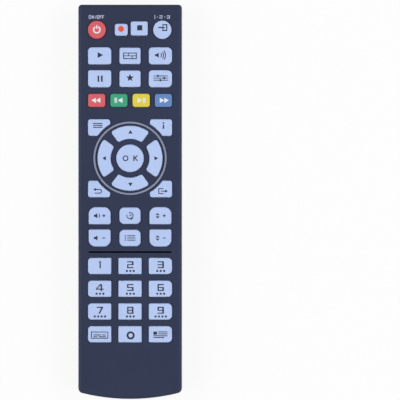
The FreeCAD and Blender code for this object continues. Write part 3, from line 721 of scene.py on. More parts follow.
@dataclass(frozen=True)
class PrintedInk(Finish):
    """Screen ink, with the pinholes and thin spots of a screen print."""

    thin: Colour
    gloss: float = 0.3
    mesh_size: float = 0.11 * MM
    mesh_depth: float = 0.002 * MM

    def dress(self, coat: Coating) -> None:
        """Wires the ink's pinholes and its mesh marks.

        Args:
            coat: The material in the making.
        """
        mesh = coat.effect(coat.effects.grain, Scale=1 / self.mesh_size)
        cover = coat.bench.remap(coat.bench.noise(coat.vector, 5200.0, 3.0), 0.36, 0.5)
        coat.feed("Base Color", coat.bench.blend(cover, self.thin, self.colour))
        self.roughen(coat, mesh["Fleck"], 0.12)
        coat.feed("Specular IOR Level", self.gloss)
        coat.emboss(mesh["Height"], self.mesh_depth)


@dataclass(frozen=True)
class SatinPaint(Finish):
    """Satin paint with fine metal flakes under a thin lacquer, and lighter edges that are partly scuffed
    and partly a painted highlight.
    """

    # The colour of the flakes, which also lightens the edges: partly scuffing, partly a painted
    # highlight.
    flake: Colour
    flake_scale: float = 9000.0
    flake_depth: float = 0.002 * MM
    rim_radius: float = 0.15 * MM
    lacquer: float = 0.25
    lacquer_roughness: float = 0.25

    def dress(self, coat: Coating) -> None:
        """Wires the flakes, the edges, which are partly scuffed and partly a painted highlight, and the
        lacquer.

        Args:
            coat: The material in the making.
        """
        bench = coat.bench
        flakes = bench.spots(coat.vector, self.flake_scale)
        spark = bench.remap(flakes, 0.7, 0.1)
        wear = coat.effect(coat.effects.wear, Radius=self.rim_radius)
        colour = bench.blend(bench.calc("MULTIPLY", spark, 0.6), self.colour, self.flake)
        # Edges: partly scuffing, partly a painted highlight in the flakes' colour.
        worn = bench.calc("MULTIPLY", wear["Mask"], 0.4)
        coat.feed("Base Color", bench.blend(worn, colour, self.flake))
        coat.feed("Metallic", bench.calc("MULTIPLY", spark, 0.5))
        self.roughen(coat, coat.effect(coat.effects.handling)["Smudge"], 0.1)
        coat.feed("Coat Weight", self.lacquer)
        coat.feed("Coat Roughness", self.lacquer_roughness)
        coat.emboss(flakes, self.flake_depth)


@dataclass(frozen=True)
class BrightMetal(Finish):
    """Plated or rolled metal, with drawing lines and a little tarnish."""

    tarnish: Colour
    relief: float = 0.002 * MM

    def dress(self, coat: Coating) -> None:
        """Wires the lines and the tarnish.

        Args:
            coat: The material in the making.
        """
        drawn = coat.effect(coat.effects.drawn)
        dull = coat.bench.calc("MULTIPLY", drawn["Tarnish"], 0.5)
        coat.feed("Base Color", coat.bench.blend(dull, self.colour, self.tarnish))
        coat.feed("Roughness", coat.bench.remap(dull, 0.0, 0.5, self.roughness, 0.5))
        coat.feed("Metallic", 1.0)
        coat.emboss(drawn["Height"], self.relief)


@dataclass(frozen=True)
class SolderMask(Finish):
    """Green lacquer over copper tracks that stand out a little under it."""

    track: Colour
    track_pitch: float = 1.27 * MM
    track_relief: float = 0.035 * MM

    def dress(self, coat: Coating) -> None:
        """Wires tracks and a flow of lacquer.

        Args:
            coat: The material in the making.
        """
        bench = coat.bench
        tracks = bench.node("TexBrick", offset=0.37, squash=1.0)
        bench.feed(tracks.inputs["Vector"], coat.vector)
        for socket, value in (
            ("Scale", 1.0), ("Mortar Size", self.track_pitch / 5), ("Mortar Smooth", 0.2),
            ("Brick Width", 9 * self.track_pitch), ("Row Height", self.track_pitch),
        ):
            tracks.inputs[socket].default_value = value
        copper = tracks.outputs["Fac"]
        hands = coat.effect(coat.effects.handling)
        lacquer = bench.blend(hands["Shade"], dimmed(self.colour, 0.8), self.colour)
        coat.feed("Base Color", bench.blend(copper, lacquer, self.track))
        coat.feed("Roughness", bench.remap(copper, 0.0, 1.0, self.roughness, 0.25))
        coat.emboss(copper, self.track_relief)


@dataclass(frozen=True)
class CastResin(Finish):
    """Moulded epoxy, ceramic or carbon paste, cloudy or speckled."""

    speck: Colour
    speck_scale: float = 2400.0
    relief: float = 0.004 * MM
    gloss: float = 0.5

    def dress(self, coat: Coating) -> None:
        """Wires the specks and a rough skin.

        Args:
            coat: The material in the making.
        """
        grain = coat.effect(coat.effects.grain, Scale=self.speck_scale)
        cloud = coat.bench.remap(coat.bench.noise(coat.vector, self.speck_scale / 3, 4.0), 0.4, 0.65)
        coat.feed("Base Color", coat.bench.blend(cloud, self.colour, self.speck))
        self.roughen(coat, grain["Fleck"], 0.1)
        coat.feed("Specular IOR Level", self.gloss)
        coat.emboss(grain["Height"], self.relief)


@dataclass(frozen=True)
class ClearResin(Finish):
    """A tinted, see-through plastic or epoxy with faint flow lines."""

    streak: Colour
    clear: float = 0.85
    bending: float = 1.5
    relief: float = 0.002 * MM

    def dress(self, coat: Coating) -> None:
        """Wires the flow lines into tint and gloss.

        Args:
            coat: The material in the making.
        """
        flow = coat.bench.noise(coat.bench.stretch(coat.vector, (0.4, 1.0, 1.6)), 260.0, 4.0)
        streaks = coat.bench.remap(flow, 0.4, 0.65)
        coat.feed("Base Color", coat.bench.blend(streaks, self.colour, self.streak))
        self.roughen(coat, streaks, 0.05)
        coat.feed("Transmission Weight", self.clear)
        coat.feed("IOR", self.bending)
        coat.emboss(coat.effect(coat.effects.handling)["Smudge"], self.relief)


@dataclass(frozen=True)
class SleeveFilm(Finish):
    """A shrunk film sleeve with a fine metallic print under it."""

    glint: Colour
    glint_scale: float = 6000.0
    lacquer: float = 0.4
    lacquer_roughness: float = 0.12
    wrinkle_depth: float = 0.01 * MM

    def dress(self, coat: Coating) -> None:
        """Wires the glints, scuffs and shrink wrinkles.

        Args:
            coat: The material in the making.
        """
        bench = coat.bench
        fine = coat.effect(coat.effects.grain, Scale=self.glint_scale)
        scuffs = bench.noise(bench.stretch(coat.vector, (6.0, 1.0, 6.0)), 180.0, 5.0)
        scuff = bench.remap(scuffs, 0.55, 0.8)
        glints = bench.calc("MULTIPLY", fine["Fleck"], 0.35)
        coat.feed("Base Color", bench.blend(glints, self.colour, self.glint))
        coat.feed("Metallic", bench.calc("MULTIPLY", fine["Fleck"], 0.3))
        coat.feed("Roughness", bench.remap(scuff, 0.0, 1.0, self.roughness, 0.55))
        coat.feed("Coat Weight", self.lacquer)
        coat.feed("Coat Roughness", self.lacquer_roughness)
        coat.emboss(scuffs, self.wrinkle_depth)


INK_DARK = PrintedInk("ink_dark", srgb(18, 20, 38), 0.5, srgb(44, 50, 78))
INK_WHITE = PrintedInk("ink_white", srgb(238, 241, 250), 0.5, srgb(214, 216, 228))
INK_RED = PrintedInk("ink_red", srgb(226, 78, 46), 0.5, srgb(236, 112, 86))
INK_LABEL = PrintedInk("ink_label", srgb(184, 194, 220), 0.5, srgb(146, 156, 184))
# The face shell's lighter edge colour is partly scuffing and partly a painted highlight along its rims.
FRONT_PLASTIC = MouldedPlastic(
    "front_plastic", srgb(44, 51, 74), 0.42, srgb(84, 92, 118), srgb(8, 12, 32),
    wear_radius=0.5 * MM, wear=0.5, gloss=0.18, gleam=srgb(226, 232, 255),
)
# The back shell's near-black edge colour is painted shade along its edges, the door and the gaps.
REAR_PLASTIC = MouldedPlastic(
    "rear_plastic", srgb(47, 56, 76), 0.34, srgb(8, 12, 26), srgb(10, 14, 32),
    wear_radius=1.5 * MM, wear=0.9, crevice_reach=0.42 * MM, hollow_depth=1.0, gloss=0.6, smudge=0.03,
    polish_worn=0.0, gleam=srgb(206, 222, 255),
)
# The finger scoop's darker tone, darker edges and lighter middle are painted shade of the recess.
SCOOP_PLASTIC = MouldedPlastic(
    "scoop_plastic", srgb(46, 54, 72), 0.4, srgb(24, 32, 50), srgb(10, 14, 32),
    wear_radius=0.6 * MM, wear=0.75, crevice_reach=0.42 * MM, gloss=0.25, gleam=srgb(206, 222, 255),
    polish=srgb(60, 71, 89), polish_at=(0.0, 18.2 * MM, 0.0), polish_reach=9.0 * MM,
)
# Each rubber's second colour darkens the key edges as painted shade.
PALE_RUBBER = SiliconeRubber("pale_rubber", srgb(185, 205, 247), 0.55, srgb(150, 168, 216))
RED_RUBBER = SiliconeRubber("red_rubber", srgb(216, 92, 100), 0.5, srgb(190, 66, 80))
GREEN_RUBBER = SiliconeRubber("green_rubber", srgb(49, 160, 119), 0.5, srgb(36, 124, 94))
YELLOW_RUBBER = SiliconeRubber("yellow_rubber", srgb(227, 208, 67), 0.5, srgb(196, 176, 52))
BLUE_RUBBER = SiliconeRubber("blue_rubber", srgb(96, 134, 193), 0.5, srgb(74, 108, 170))
MAT_RUBBER = SiliconeRubber("mat_rubber", srgb(140, 146, 156), 0.6, srgb(112, 118, 128))
# The ring's lighter edges are partly scuffing and partly a painted highlight.
RING_PAINT = SatinPaint("ring_paint", srgb(112, 119, 144), 0.36, srgb(168, 174, 196))
GROOVE_PAINT = CastResin("groove_paint", srgb(2, 4, 12), 0.7, srgb(6, 9, 20), gloss=0.0)
BOARD_MASK = SolderMask("board_mask", srgb(30, 84, 52), 0.4, srgb(72, 128, 60))
CARBON_INK = CastResin("carbon_ink", srgb(26, 26, 28), 0.7, srgb(44, 44, 48))
NICKEL_PLATE = BrightMetal("nickel_plate", srgb(206, 202, 192), 0.24, srgb(150, 142, 124))
ZINC_PLATE = BrightMetal("zinc_plate", srgb(196, 198, 204), 0.34, srgb(140, 140, 148))
CHIP_EPOXY = CastResin("chip_epoxy", srgb(32, 33, 36), 0.55, srgb(46, 47, 50))
ORANGE_CERAMIC = CastResin("orange_ceramic", srgb(206, 140, 62), 0.3, srgb(220, 160, 84))
CAN_SLEEVE = SleeveFilm("can_sleeve", srgb(40, 46, 74), 0.3, srgb(70, 78, 110))
DARK_WINDOW = ClearResin("dark_window", srgb(58, 30, 44), 0.08, srgb(40, 22, 34), 0.6)
LENS_EPOXY = ClearResin("lens_epoxy", srgb(206, 214, 230), 0.05, srgb(190, 200, 220))
CELL_FILM = SleeveFilm("cell_film", srgb(34, 108, 92), 0.28, srgb(74, 150, 128))
CELL_BAND = SleeveFilm("cell_band", srgb(206, 176, 96), 0.26, srgb(232, 208, 140))
CELL_WASHER = CastResin("cell_washer", srgb(214, 212, 204), 0.6, srgb(196, 194, 186))


@dataclass(frozen=True)
class Bar:
    """A straight stroke between two points, with square ends."""

    start: Point
    end: Point
    width: float = 0.5

    def outlines(self) -> list[list[Point]]:
        """The stroke's edge.

        Returns:
            One outline of four corners.
        """
        along = Vector(self.end) - Vector(self.start)
        along.normalize()
        side = Vector((-along.y, along.x)) * (self.width / 2)
        corners = [(self.start, -1), (self.end, -1), (self.end, 1), (self.start, 1)]
        return [[tuple(Vector(point) + side * turn) for point, turn in corners]]


@dataclass(frozen=True)
class Block:
    """An upright rectangle about its middle."""

    middle: Point
    width: float
    height: float

    def outlines(self) -> list[list[Point]]:
        """The rectangle's four corners."""
        x, y = self.middle
        return Bar((x - self.width / 2, y), (x + self.width / 2, y), self.height).outlines()


@dataclass(frozen=True)
class Patch:
    """A filled polygon."""

    corners: tuple[Point, ...]

    def outlines(self) -> list[list[Point]]:
        """The polygon itself."""
        return [list(self.corners)]


@dataclass(frozen=True)
class Sweep:
    """A curved stroke: part of a ring, from one angle to another in degrees."""

    middle: Point
    radius: float
    width: float = 0.5
    start: float = 0.0
    end: float = 360.0
    steps_per_turn: int = 40

    def outlines(self) -> list[list[Point]]:
        """The ring in short steps.

        Returns:
            One outline of four corners for each step.
        """
        steps = max(2, round(self.steps_per_turn * abs(self.end - self.start) / 360))
        rims = []
        for step in range(steps + 1):
            angle = math.radians(self.start + (self.end - self.start) * step / steps)
            rims.append([
                (self.middle[0] + reach * math.cos(angle), self.middle[1] + reach * math.sin(angle))
                for reach in (self.radius - self.width / 2, self.radius + self.width / 2)
            ])
        return [[low[0], low[1], high[1], high[0]] for low, high in zip(rims, rims[1:])]


@dataclass(frozen=True)
class Disc:
    """A filled circle."""

    middle: Point
    radius: float
    steps: int = 28

    def outlines(self) -> list[list[Point]]:
        """The circle's edge.

        Returns:
            One outline with a corner for each step.
        """
        x, y = self.middle
        turns = [2 * math.pi * step / self.steps for step in range(self.steps)]
        return [[(x + self.radius * math.cos(turn), y + self.radius * math.sin(turn)) for turn in turns]]


Mark = Bar | Block | Patch | Sweep | Disc


def triangle(x: float, y: float, size: float, way: int) -> Patch:
    """An arrowhead.

    Args:
        x: The middle, across.
        y: The middle, up.
        size: Its height.
        way: 1 to point right, -1 to point left.

    Returns:
        The arrowhead's patch.
    """
    back = x - way * size * 0.45
    return Patch(((back, y - size / 2), (x + way * size * 0.45, y), (back, y + size / 2)))


def star(radius: float, waist: float) -> Patch:
    """A five-pointed star about the middle.

    Args:
        radius: From the middle to a point.
        waist: From the middle to the corner between two points.

    Returns:
        The star's patch.
    """
    corners = []
    for step in range(10):
        reach = radius if step % 2 == 0 else waist
        turn = math.radians(90 + 36 * step)
        corners.append((reach * math.cos(turn), reach * math.sin(turn)))
    return Patch(tuple(corners))


def plus(x: float, y: float, size: float = 1.5, width: float = 0.42) -> tuple[Mark, ...]:
    """A plus sign as two crossing strokes."""
    return (Block((x, y), size, width), Block((x, y), width, size))


def speaker(x: float) -> tuple[Mark, ...]:
    """A loudspeaker whose cone opens to the right.

    Args:
        x: Its left side.

    Returns:
        The loudspeaker's marks.
    """
    return (
        Block((x + 0.4, 0.0), 0.8, 1.0),
        Patch(((x + 0.7, -0.5), (x + 1.7, -1.2), (x + 1.7, 1.2), (x + 0.7, 0.5))),
    )


def chevrons(x: float) -> tuple[Mark, ...]:
    """A pair of arrowheads, one up and one down.

    Args:
        x: Their middle, across.

    Returns:
        Both arrowheads.
    """
    return (
        Patch(((x - 1.0, 0.25), (x + 1.0, 0.25), (x, 1.25))),
        Patch(((x - 1.0, -0.25), (x, -1.25), (x + 1.0, -0.25))),
    )


def square_digit(strokes: str, half: float = 1.5, width: float = 0.52) -> tuple[Mark, ...]:
    """A squared digit with a heavy right side.

    Args:
        strokes: Its sides: a top, b upper right, c lower right, d bottom, e lower left,
            f upper left and g middle.
        half: Half its width, and a little less than half its height.
        width: The width of a light stroke.

    Returns:
        The digit's marks.
    """
    high = half * 1.08
    heavy = width * 1.45
    sides = {
        "a": Block((0.0, high - width / 2), 2 * half, width),
        "b": Block((half - heavy / 2, high / 2), heavy, high),
        "c": Block((half - heavy / 2, -high / 2), heavy, high),
        "d": Block((0.0, width / 2 - high), 2 * half, width),
        "e": Block((width * 0.6 - half, -high / 2), width * 1.2, high),
        "f": Block((width * 0.6 - half, high / 2), width * 1.2, high),
        "g": Block((0.0, 0.0), 2 * half, width * 0.9),
    }
    return tuple(sides[stroke] for stroke in strokes)


class Glyph(Enum):
    """The printed marks of the keys, in millimetres from each drawing's middle."""

    POWER = (Sweep((0.0, -0.15), 1.5, 0.62, 118, 422), Bar((0.0, 0.35), (0.0, 2.0), 0.62))
    RECORD = (Disc((0.0, 0.0), 1.4),)
    STOP = (Block((0.0, 0.0), 2.4, 2.4),)
    SOURCE = (
        Bar((-0.3, 1.35), (2.0, 1.35)), Bar((1.75, 1.35), (1.75, -1.35)),
        Bar((2.0, -1.35), (-0.3, -1.35)),
        Bar((-0.05, 1.35), (-0.05, 0.75)), Bar((-0.05, -0.75), (-0.05, -1.35)),
        Bar((-2.1, 0.0), (0.2, 0.0), 0.55), triangle(0.4, 0.0, 1.4, 1),
    )
    PLAY = (triangle(0.0, 0.0, 2.8, 1),)
    PAUSE = (Block((-0.8, 0.0), 0.75, 2.9), Block((0.8, 0.0), 0.75, 2.9))
    GUIDE = (
        Bar((-3.2, 1.3), (3.2, 1.3), 0.42), Bar((-3.2, 0.0), (3.2, 0.0), 0.34),
        Bar((-3.2, -1.3), (3.2, -1.3), 0.42), Bar((-3.0, 1.3), (-3.0, -1.3), 0.42),
        Bar((3.0, 1.3), (3.0, -1.3), 0.42), Bar((-0.7, 1.3), (-0.7, 0.0), 0.34),
        Bar((1.0, 0.0), (1.0, -1.3), 0.34),
    )
    AUDIO = speaker(-2.9) + tuple(
        Sweep((-1.4, 0.0), 1.5 + 0.95 * step, 0.42, -38, 38) for step in range(3)
    )
    FAVOURITE = (star(1.9, 0.82),)
    SLIDERS = (
        Bar((-3.4, 1.0), (3.4, 1.0), 0.36), Bar((-3.4, 0.0), (3.4, 0.0), 0.36),
        Bar((-3.4, -1.0), (3.4, -1.0), 0.36), Block((-1.4, 1.0), 0.8, 1.0),
        Block((1.6, 0.0), 0.8, 1.0), Block((-0.2, -1.0), 0.8, 1.0),
    )
    REWIND = (triangle(-1.0, 0.0, 2.4, -1), triangle(1.1, 0.0, 2.4, -1))
    PREVIOUS = (
        Block((-1.75, 0.0), 0.45, 2.4), Block((-1.05, 0.0), 0.35, 2.4), triangle(0.6, 0.0, 2.4, -1),
    )
    NEXT = (triangle(-0.6, 0.0, 2.4, 1), Block((1.05, 0.0), 0.35, 2.4), Block((1.75, 0.0), 0.45, 2.4))
    FORWARD = (triangle(-1.1, 0.0, 2.4, 1), triangle(1.0, 0.0, 2.4, 1))
    MENU = tuple(Bar((-2.2, level), (2.2, level), 0.44) for level in (0.9, 0.0, -0.9))
    INFO = (Disc((0.0, 1.1), 0.38), Block((0.0, -0.45), 0.62, 1.7), Block((0.0, -1.3), 1.3, 0.34))
    UP = (Patch(((-1.0, -0.8), (1.0, -0.8), (0.0, 0.9))),)
    DOWN = (Patch(((-1.0, 0.8), (0.0, -0.9), (1.0, 0.8))),)
    LEFT = (triangle(0.0, 0.0, 1.9, -1),)
    RIGHT = (triangle(0.0, 0.0, 1.9, 1),)
    OK = (
        Sweep((-2.4, 0.0), 1.1, 0.5), Block((1.5, 0.0), 0.52, 2.6),
        Bar((1.55, -0.2), (3.15, 1.3), 0.5), Bar((1.95, 0.25), (3.3, -1.3), 0.5),
    )
    BACK = (
        Bar((-1.2, 0.75), (0.9, 0.75), 0.42), Sweep((0.9, -0.1), 0.85, 0.42, -90, 90),
        Bar((0.95, -0.95), (-1.5, -0.95), 0.42), triangle(-1.5, 0.75, 1.5, -1),
    )
    EXIT = (
        Bar((-2.0, 1.2), (-2.0, -1.2), 0.42), Bar((-2.2, 1.2), (0.2, 1.2), 0.38),
        Bar((-2.2, -1.2), (0.2, -1.2), 0.38), Bar((-1.0, 0.0), (1.4, 0.0), 0.42),
        triangle(1.6, 0.0, 1.4, 1),
    )
    LOUDER = speaker(-2.7) + (Sweep((-1.3, 0.0), 1.3, 0.36, -42, 42),) + plus(2.0, 0.0)
    QUIETER = speaker(-2.7) + (Block((1.9, 0.0), 1.5, 0.42),)
    RECALL = (
        Sweep((0.0, 0.0), 1.45, 0.42, -200, 110), triangle(0.95, -1.3, 1.2, 1),
        Bar((0.0, 0.8), (0.0, -0.1), 0.34), Bar((-0.1, 0.0), (0.75, 0.0), 0.34),
    )
    CHANNEL_UP = chevrons(-1.3) + plus(1.8, 0.0)
    CHANNEL_DOWN = chevrons(-1.3) + (Block((1.8, 0.0), 1.5, 0.42),)
    LIST = tuple(
        mark for level in (1.0, 0.0, -1.0)
        for mark in (Disc((-2.2, level), 0.32, 14), Bar((-1.3, level), (2.5, level), 0.42))
    )
    SUBTITLE = (
        Bar((-4.0, 1.45), (4.0, 1.45), 0.38), Bar((-4.0, -1.45), (4.0, -1.45), 0.38),
        Bar((-3.85, 1.45), (-3.85, -1.45), 0.38), Bar((3.85, 1.45), (3.85, -1.45), 0.38),
        Bar((-2.9, 0.1), (0.6, 0.1), 0.42), Bar((1.2, 0.1), (2.9, 0.1), 0.42),
        Bar((-2.9, -0.75), (-1.1, -0.75), 0.42), Bar((-0.5, -0.75), (2.9, -0.75), 0.42),
    )
    PAGE = (
        Block((-2.45, 0.55), 1.7, 1.5), Bar((-1.0, 1.1), (3.3, 1.1), 0.42),
        Bar((-1.0, 0.2), (3.3, 0.2), 0.42),
        Bar((-3.3, -0.7), (3.3, -0.7), 0.42), Bar((-3.3, -1.5), (1.8, -1.5), 0.42),
    )
    ZERO = (Sweep((0.0, 0.0), 1.45, 0.9),)
    ONE = (Block((0.1, 0.0), 0.62, 3.4), Bar((-0.55, 1.15), (0.2, 1.5), 0.4))
    TWO = square_digit("abged")
    THREE = square_digit("abgcd")
    FOUR = (
        Bar((0.45, 1.6), (-1.6, -0.55), 0.5), Bar((-1.85, -0.75), (1.8, -0.75), 0.5),
        Block((0.65, -0.05), 0.72, 3.3),
    )
    FIVE = square_digit("afgcd")
    SIX = square_digit("afedcg")
    SEVEN = (Bar((-1.5, 1.35), (1.5, 1.35), 0.52), Bar((1.15, 1.35), (-0.35, -1.6), 0.68))
    EIGHT = square_digit("abcdefg")
    NINE = square_digit("gfabcd")


@dataclass
class Workshop:
    """Finds the frame's nodes, and makes, dresses and mounts the pieces round them."""

    nodes: dict[str, bpy.types.Object]
    effects: Effects = field(default_factory=Effects)
    _materials: dict[str, bpy.types.Material] = field(default_factory=dict)

    def material(self, finish: Finish) -> bpy.types.Material:
        """The finish's material, made on its first use.

        Args:
            finish: The finish.

        Returns:
            Its material.
        """
        if finish.name not in self._materials:
            self._materials[finish.name] = finish.material(self.effects)
        return self._materials[finish.name]

    def dress(
        self, node: str, finish: Finish, second: Finish | None = None,
        is_second: Callable[[bpy.types.MeshPolygon], bool] = lambda face: False,
    ) -> None:
        """Gives a node of the frame one finish, or two.

        Args:
            node: The node's name.
            finish: Its main finish.
            second: Another finish for some of its faces.
            is_second: Says of a face whether it has the second finish.
        """
        mesh = self.nodes[node].data
        mesh.materials.clear()
        mesh.materials.append(self.material(finish))
        if second:
            mesh.materials.append(self.material(second))
            for face in mesh.polygons:
                face.material_index = int(is_second(face))
        LOG.info("dressed %s in %s", node, finish.name)

    def mount(
        self, name: str, mesh: bpy.types.Mesh, body: str, slot: str, *finishes: Finish
    ) -> bpy.types.Object:
        """Puts a new piece on a body of the frame.

        Args:
            name: The piece's name.
            mesh: Its mesh, in the frame's place.
            body: The body that it rides on.
            slot: Not used.
            finishes: Its finishes, in the order of the mesh's material indices.

        Returns:
            The piece.
        """
        piece = placed(name, mesh)
        for finish in finishes:
            mesh.materials.append(self.material(finish))
        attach(piece, body)
        LOG.info("mounted %s on %s with %d faces", name, body, len(mesh.polygons))
        return piece

    def surface(self, node: str) -> BVHTree:
        """A node's surface, ready for ray casts.

        Args:
            node: The node's name.

        Returns:
            A search tree of the surface's faces.
        """
        mesh = self.nodes[node].data
        return BVHTree.FromPolygons(
            [vertex.co for vertex in mesh.vertices], [face.vertices for face in mesh.polygons]
        )


@dataclass
class PrintPress:
    """Prints flat drawings on a surface as thin closed skins of ink."""

    shop: Workshop
    ink_height: float = 0.02 * MM
    ink_depth: float = 0.03 * MM
    grid: float = 0.8
    tolerance: float = 1e-4
    far: float = 1.0

    def _fill(self, marks: Iterable[Mark]) -> tuple[list[Vector], list[Sequence[int]]]:
        """Merges the marks' outlines and cuts them into small triangles.

        Args:
            marks: The marks, in millimetres.

        Returns:
            The corners, and the triangles as triples of corner numbers.
        """
        outlines = [outline for mark in marks for outline in mark.outlines()]
        points: list[Vector] = []
        edges: list[tuple[int, int]] = []
        for outline in outlines:
            start, count = len(points), len(outline)
            edges += [(start + step, start + (step + 1) % count) for step in range(count)]
            points += [Vector(point) for point in outline]
        low = Vector((min(p.x for p in points), min(p.y for p in points)))
        high = Vector((max(p.x for p in points), max(p.y for p in points)))
        for axis in (0, 1):
            count = int((high[axis] - low[axis]) / self.grid)
            for step in range(1, count + 1):
                start, end = low.copy(), high.copy()
                start[axis] = end[axis] = low[axis] + step * self.grid
                edges.append((len(points), len(points) + 1))
                points += [start, end]
        corners, _, triangles, _, _, _ = delaunay_2d_cdt(points, edges, [], 0, self.tolerance)
        filled = []
        for triangle in triangles:
            centre = sum((corners[corner] for corner in triangle), Vector((0, 0))) / 3
            if any(self._covers(outline, centre) for outline in outlines):
                filled.append(triangle)
        return corners, filled

    @staticmethod
    def _covers(outline: list[Point], place: Vector) -> bool:
        """Says whether a place is inside an outline, by the sides that a line from it crosses.

        Args:
            outline: The outline's corners in order.
            place: The place.

        Returns:
            True where it is inside.
        """
        inside = False
        for (x1, y1), (x2, y2) in zip(outline, outline[1:] + outline[:1]):
            if (y1 > place.y) != (y2 > place.y):
                inside ^= place.x < x1 + (place.y - y1) / (y2 - y1) * (x2 - x1)
        return inside

    def print_on(
        self, name: str, marks: Iterable[Mark], middle: Point, node: str, body: str, slot: str,
        ink: Finish, from_above: bool = True,
    ) -> bpy.types.Object:
        """Prints marks on a node.

        Args:
            name: The new piece's name.
            marks: The drawing, in millimetres.
            middle: Where the drawing's origin goes, in millimetres.
            node: The node that is printed on.
            body: The body that the print rides on.
            slot: Passed on to mount, which does not use it.
            ink: The ink.
            from_above: Whether the print is on the upper side, and not the lower one.

        Returns:
            The printed piece.
        """
        corners, triangles = self._fill(marks)
        surface = self.shop.surface(node)
        out = 1 if from_above else -1
        sheet = bmesh.new()
        tops, bottoms = [], []
        for corner in corners:
            x, y = (middle[0] + corner.x) * MM, (middle[1] + corner.y) * MM
            hit = surface.ray_cast(Vector((x, y, out * self.far)), Vector((0, 0, -out)))[0]
            if hit is None:
                tops.append(None)
                bottoms.append(None)
                continue
            tops.append(sheet.verts.new((x, y, hit.z + out * self.ink_height)))
            bottoms.append(sheet.verts.new((x, y, hit.z - out * self.ink_depth)))
        directed = {edge for face in triangles for edge in zip(face, face[1:] + face[:1])}
        for face in triangles:
            sheet.faces.new([tops[corner] for corner in face][::out])
            sheet.faces.new([bottoms[corner] for corner in face][::-out])
        for first, last in directed:
            if (last, first) not in directed:
                wall = [tops[first], bottoms[first], bottoms[last], tops[last]]
                sheet.faces.new(wall[::out])
        loose = [vertex for vertex in sheet.verts if not vertex.link_faces]
        bmesh.ops.delete(sheet, geom=loose, context="VERTS")
        return self.shop.mount(name, drawn_mesh(name, sheet), body, slot, ink)


@dataclass(frozen=True)
class Legend:
    """What a key says: its drawing, its place from the key's middle, and its ink."""

    key: str
    glyph: Glyph
    ink: Finish = INK_DARK
    shift: Point = (0.0, 0.0)


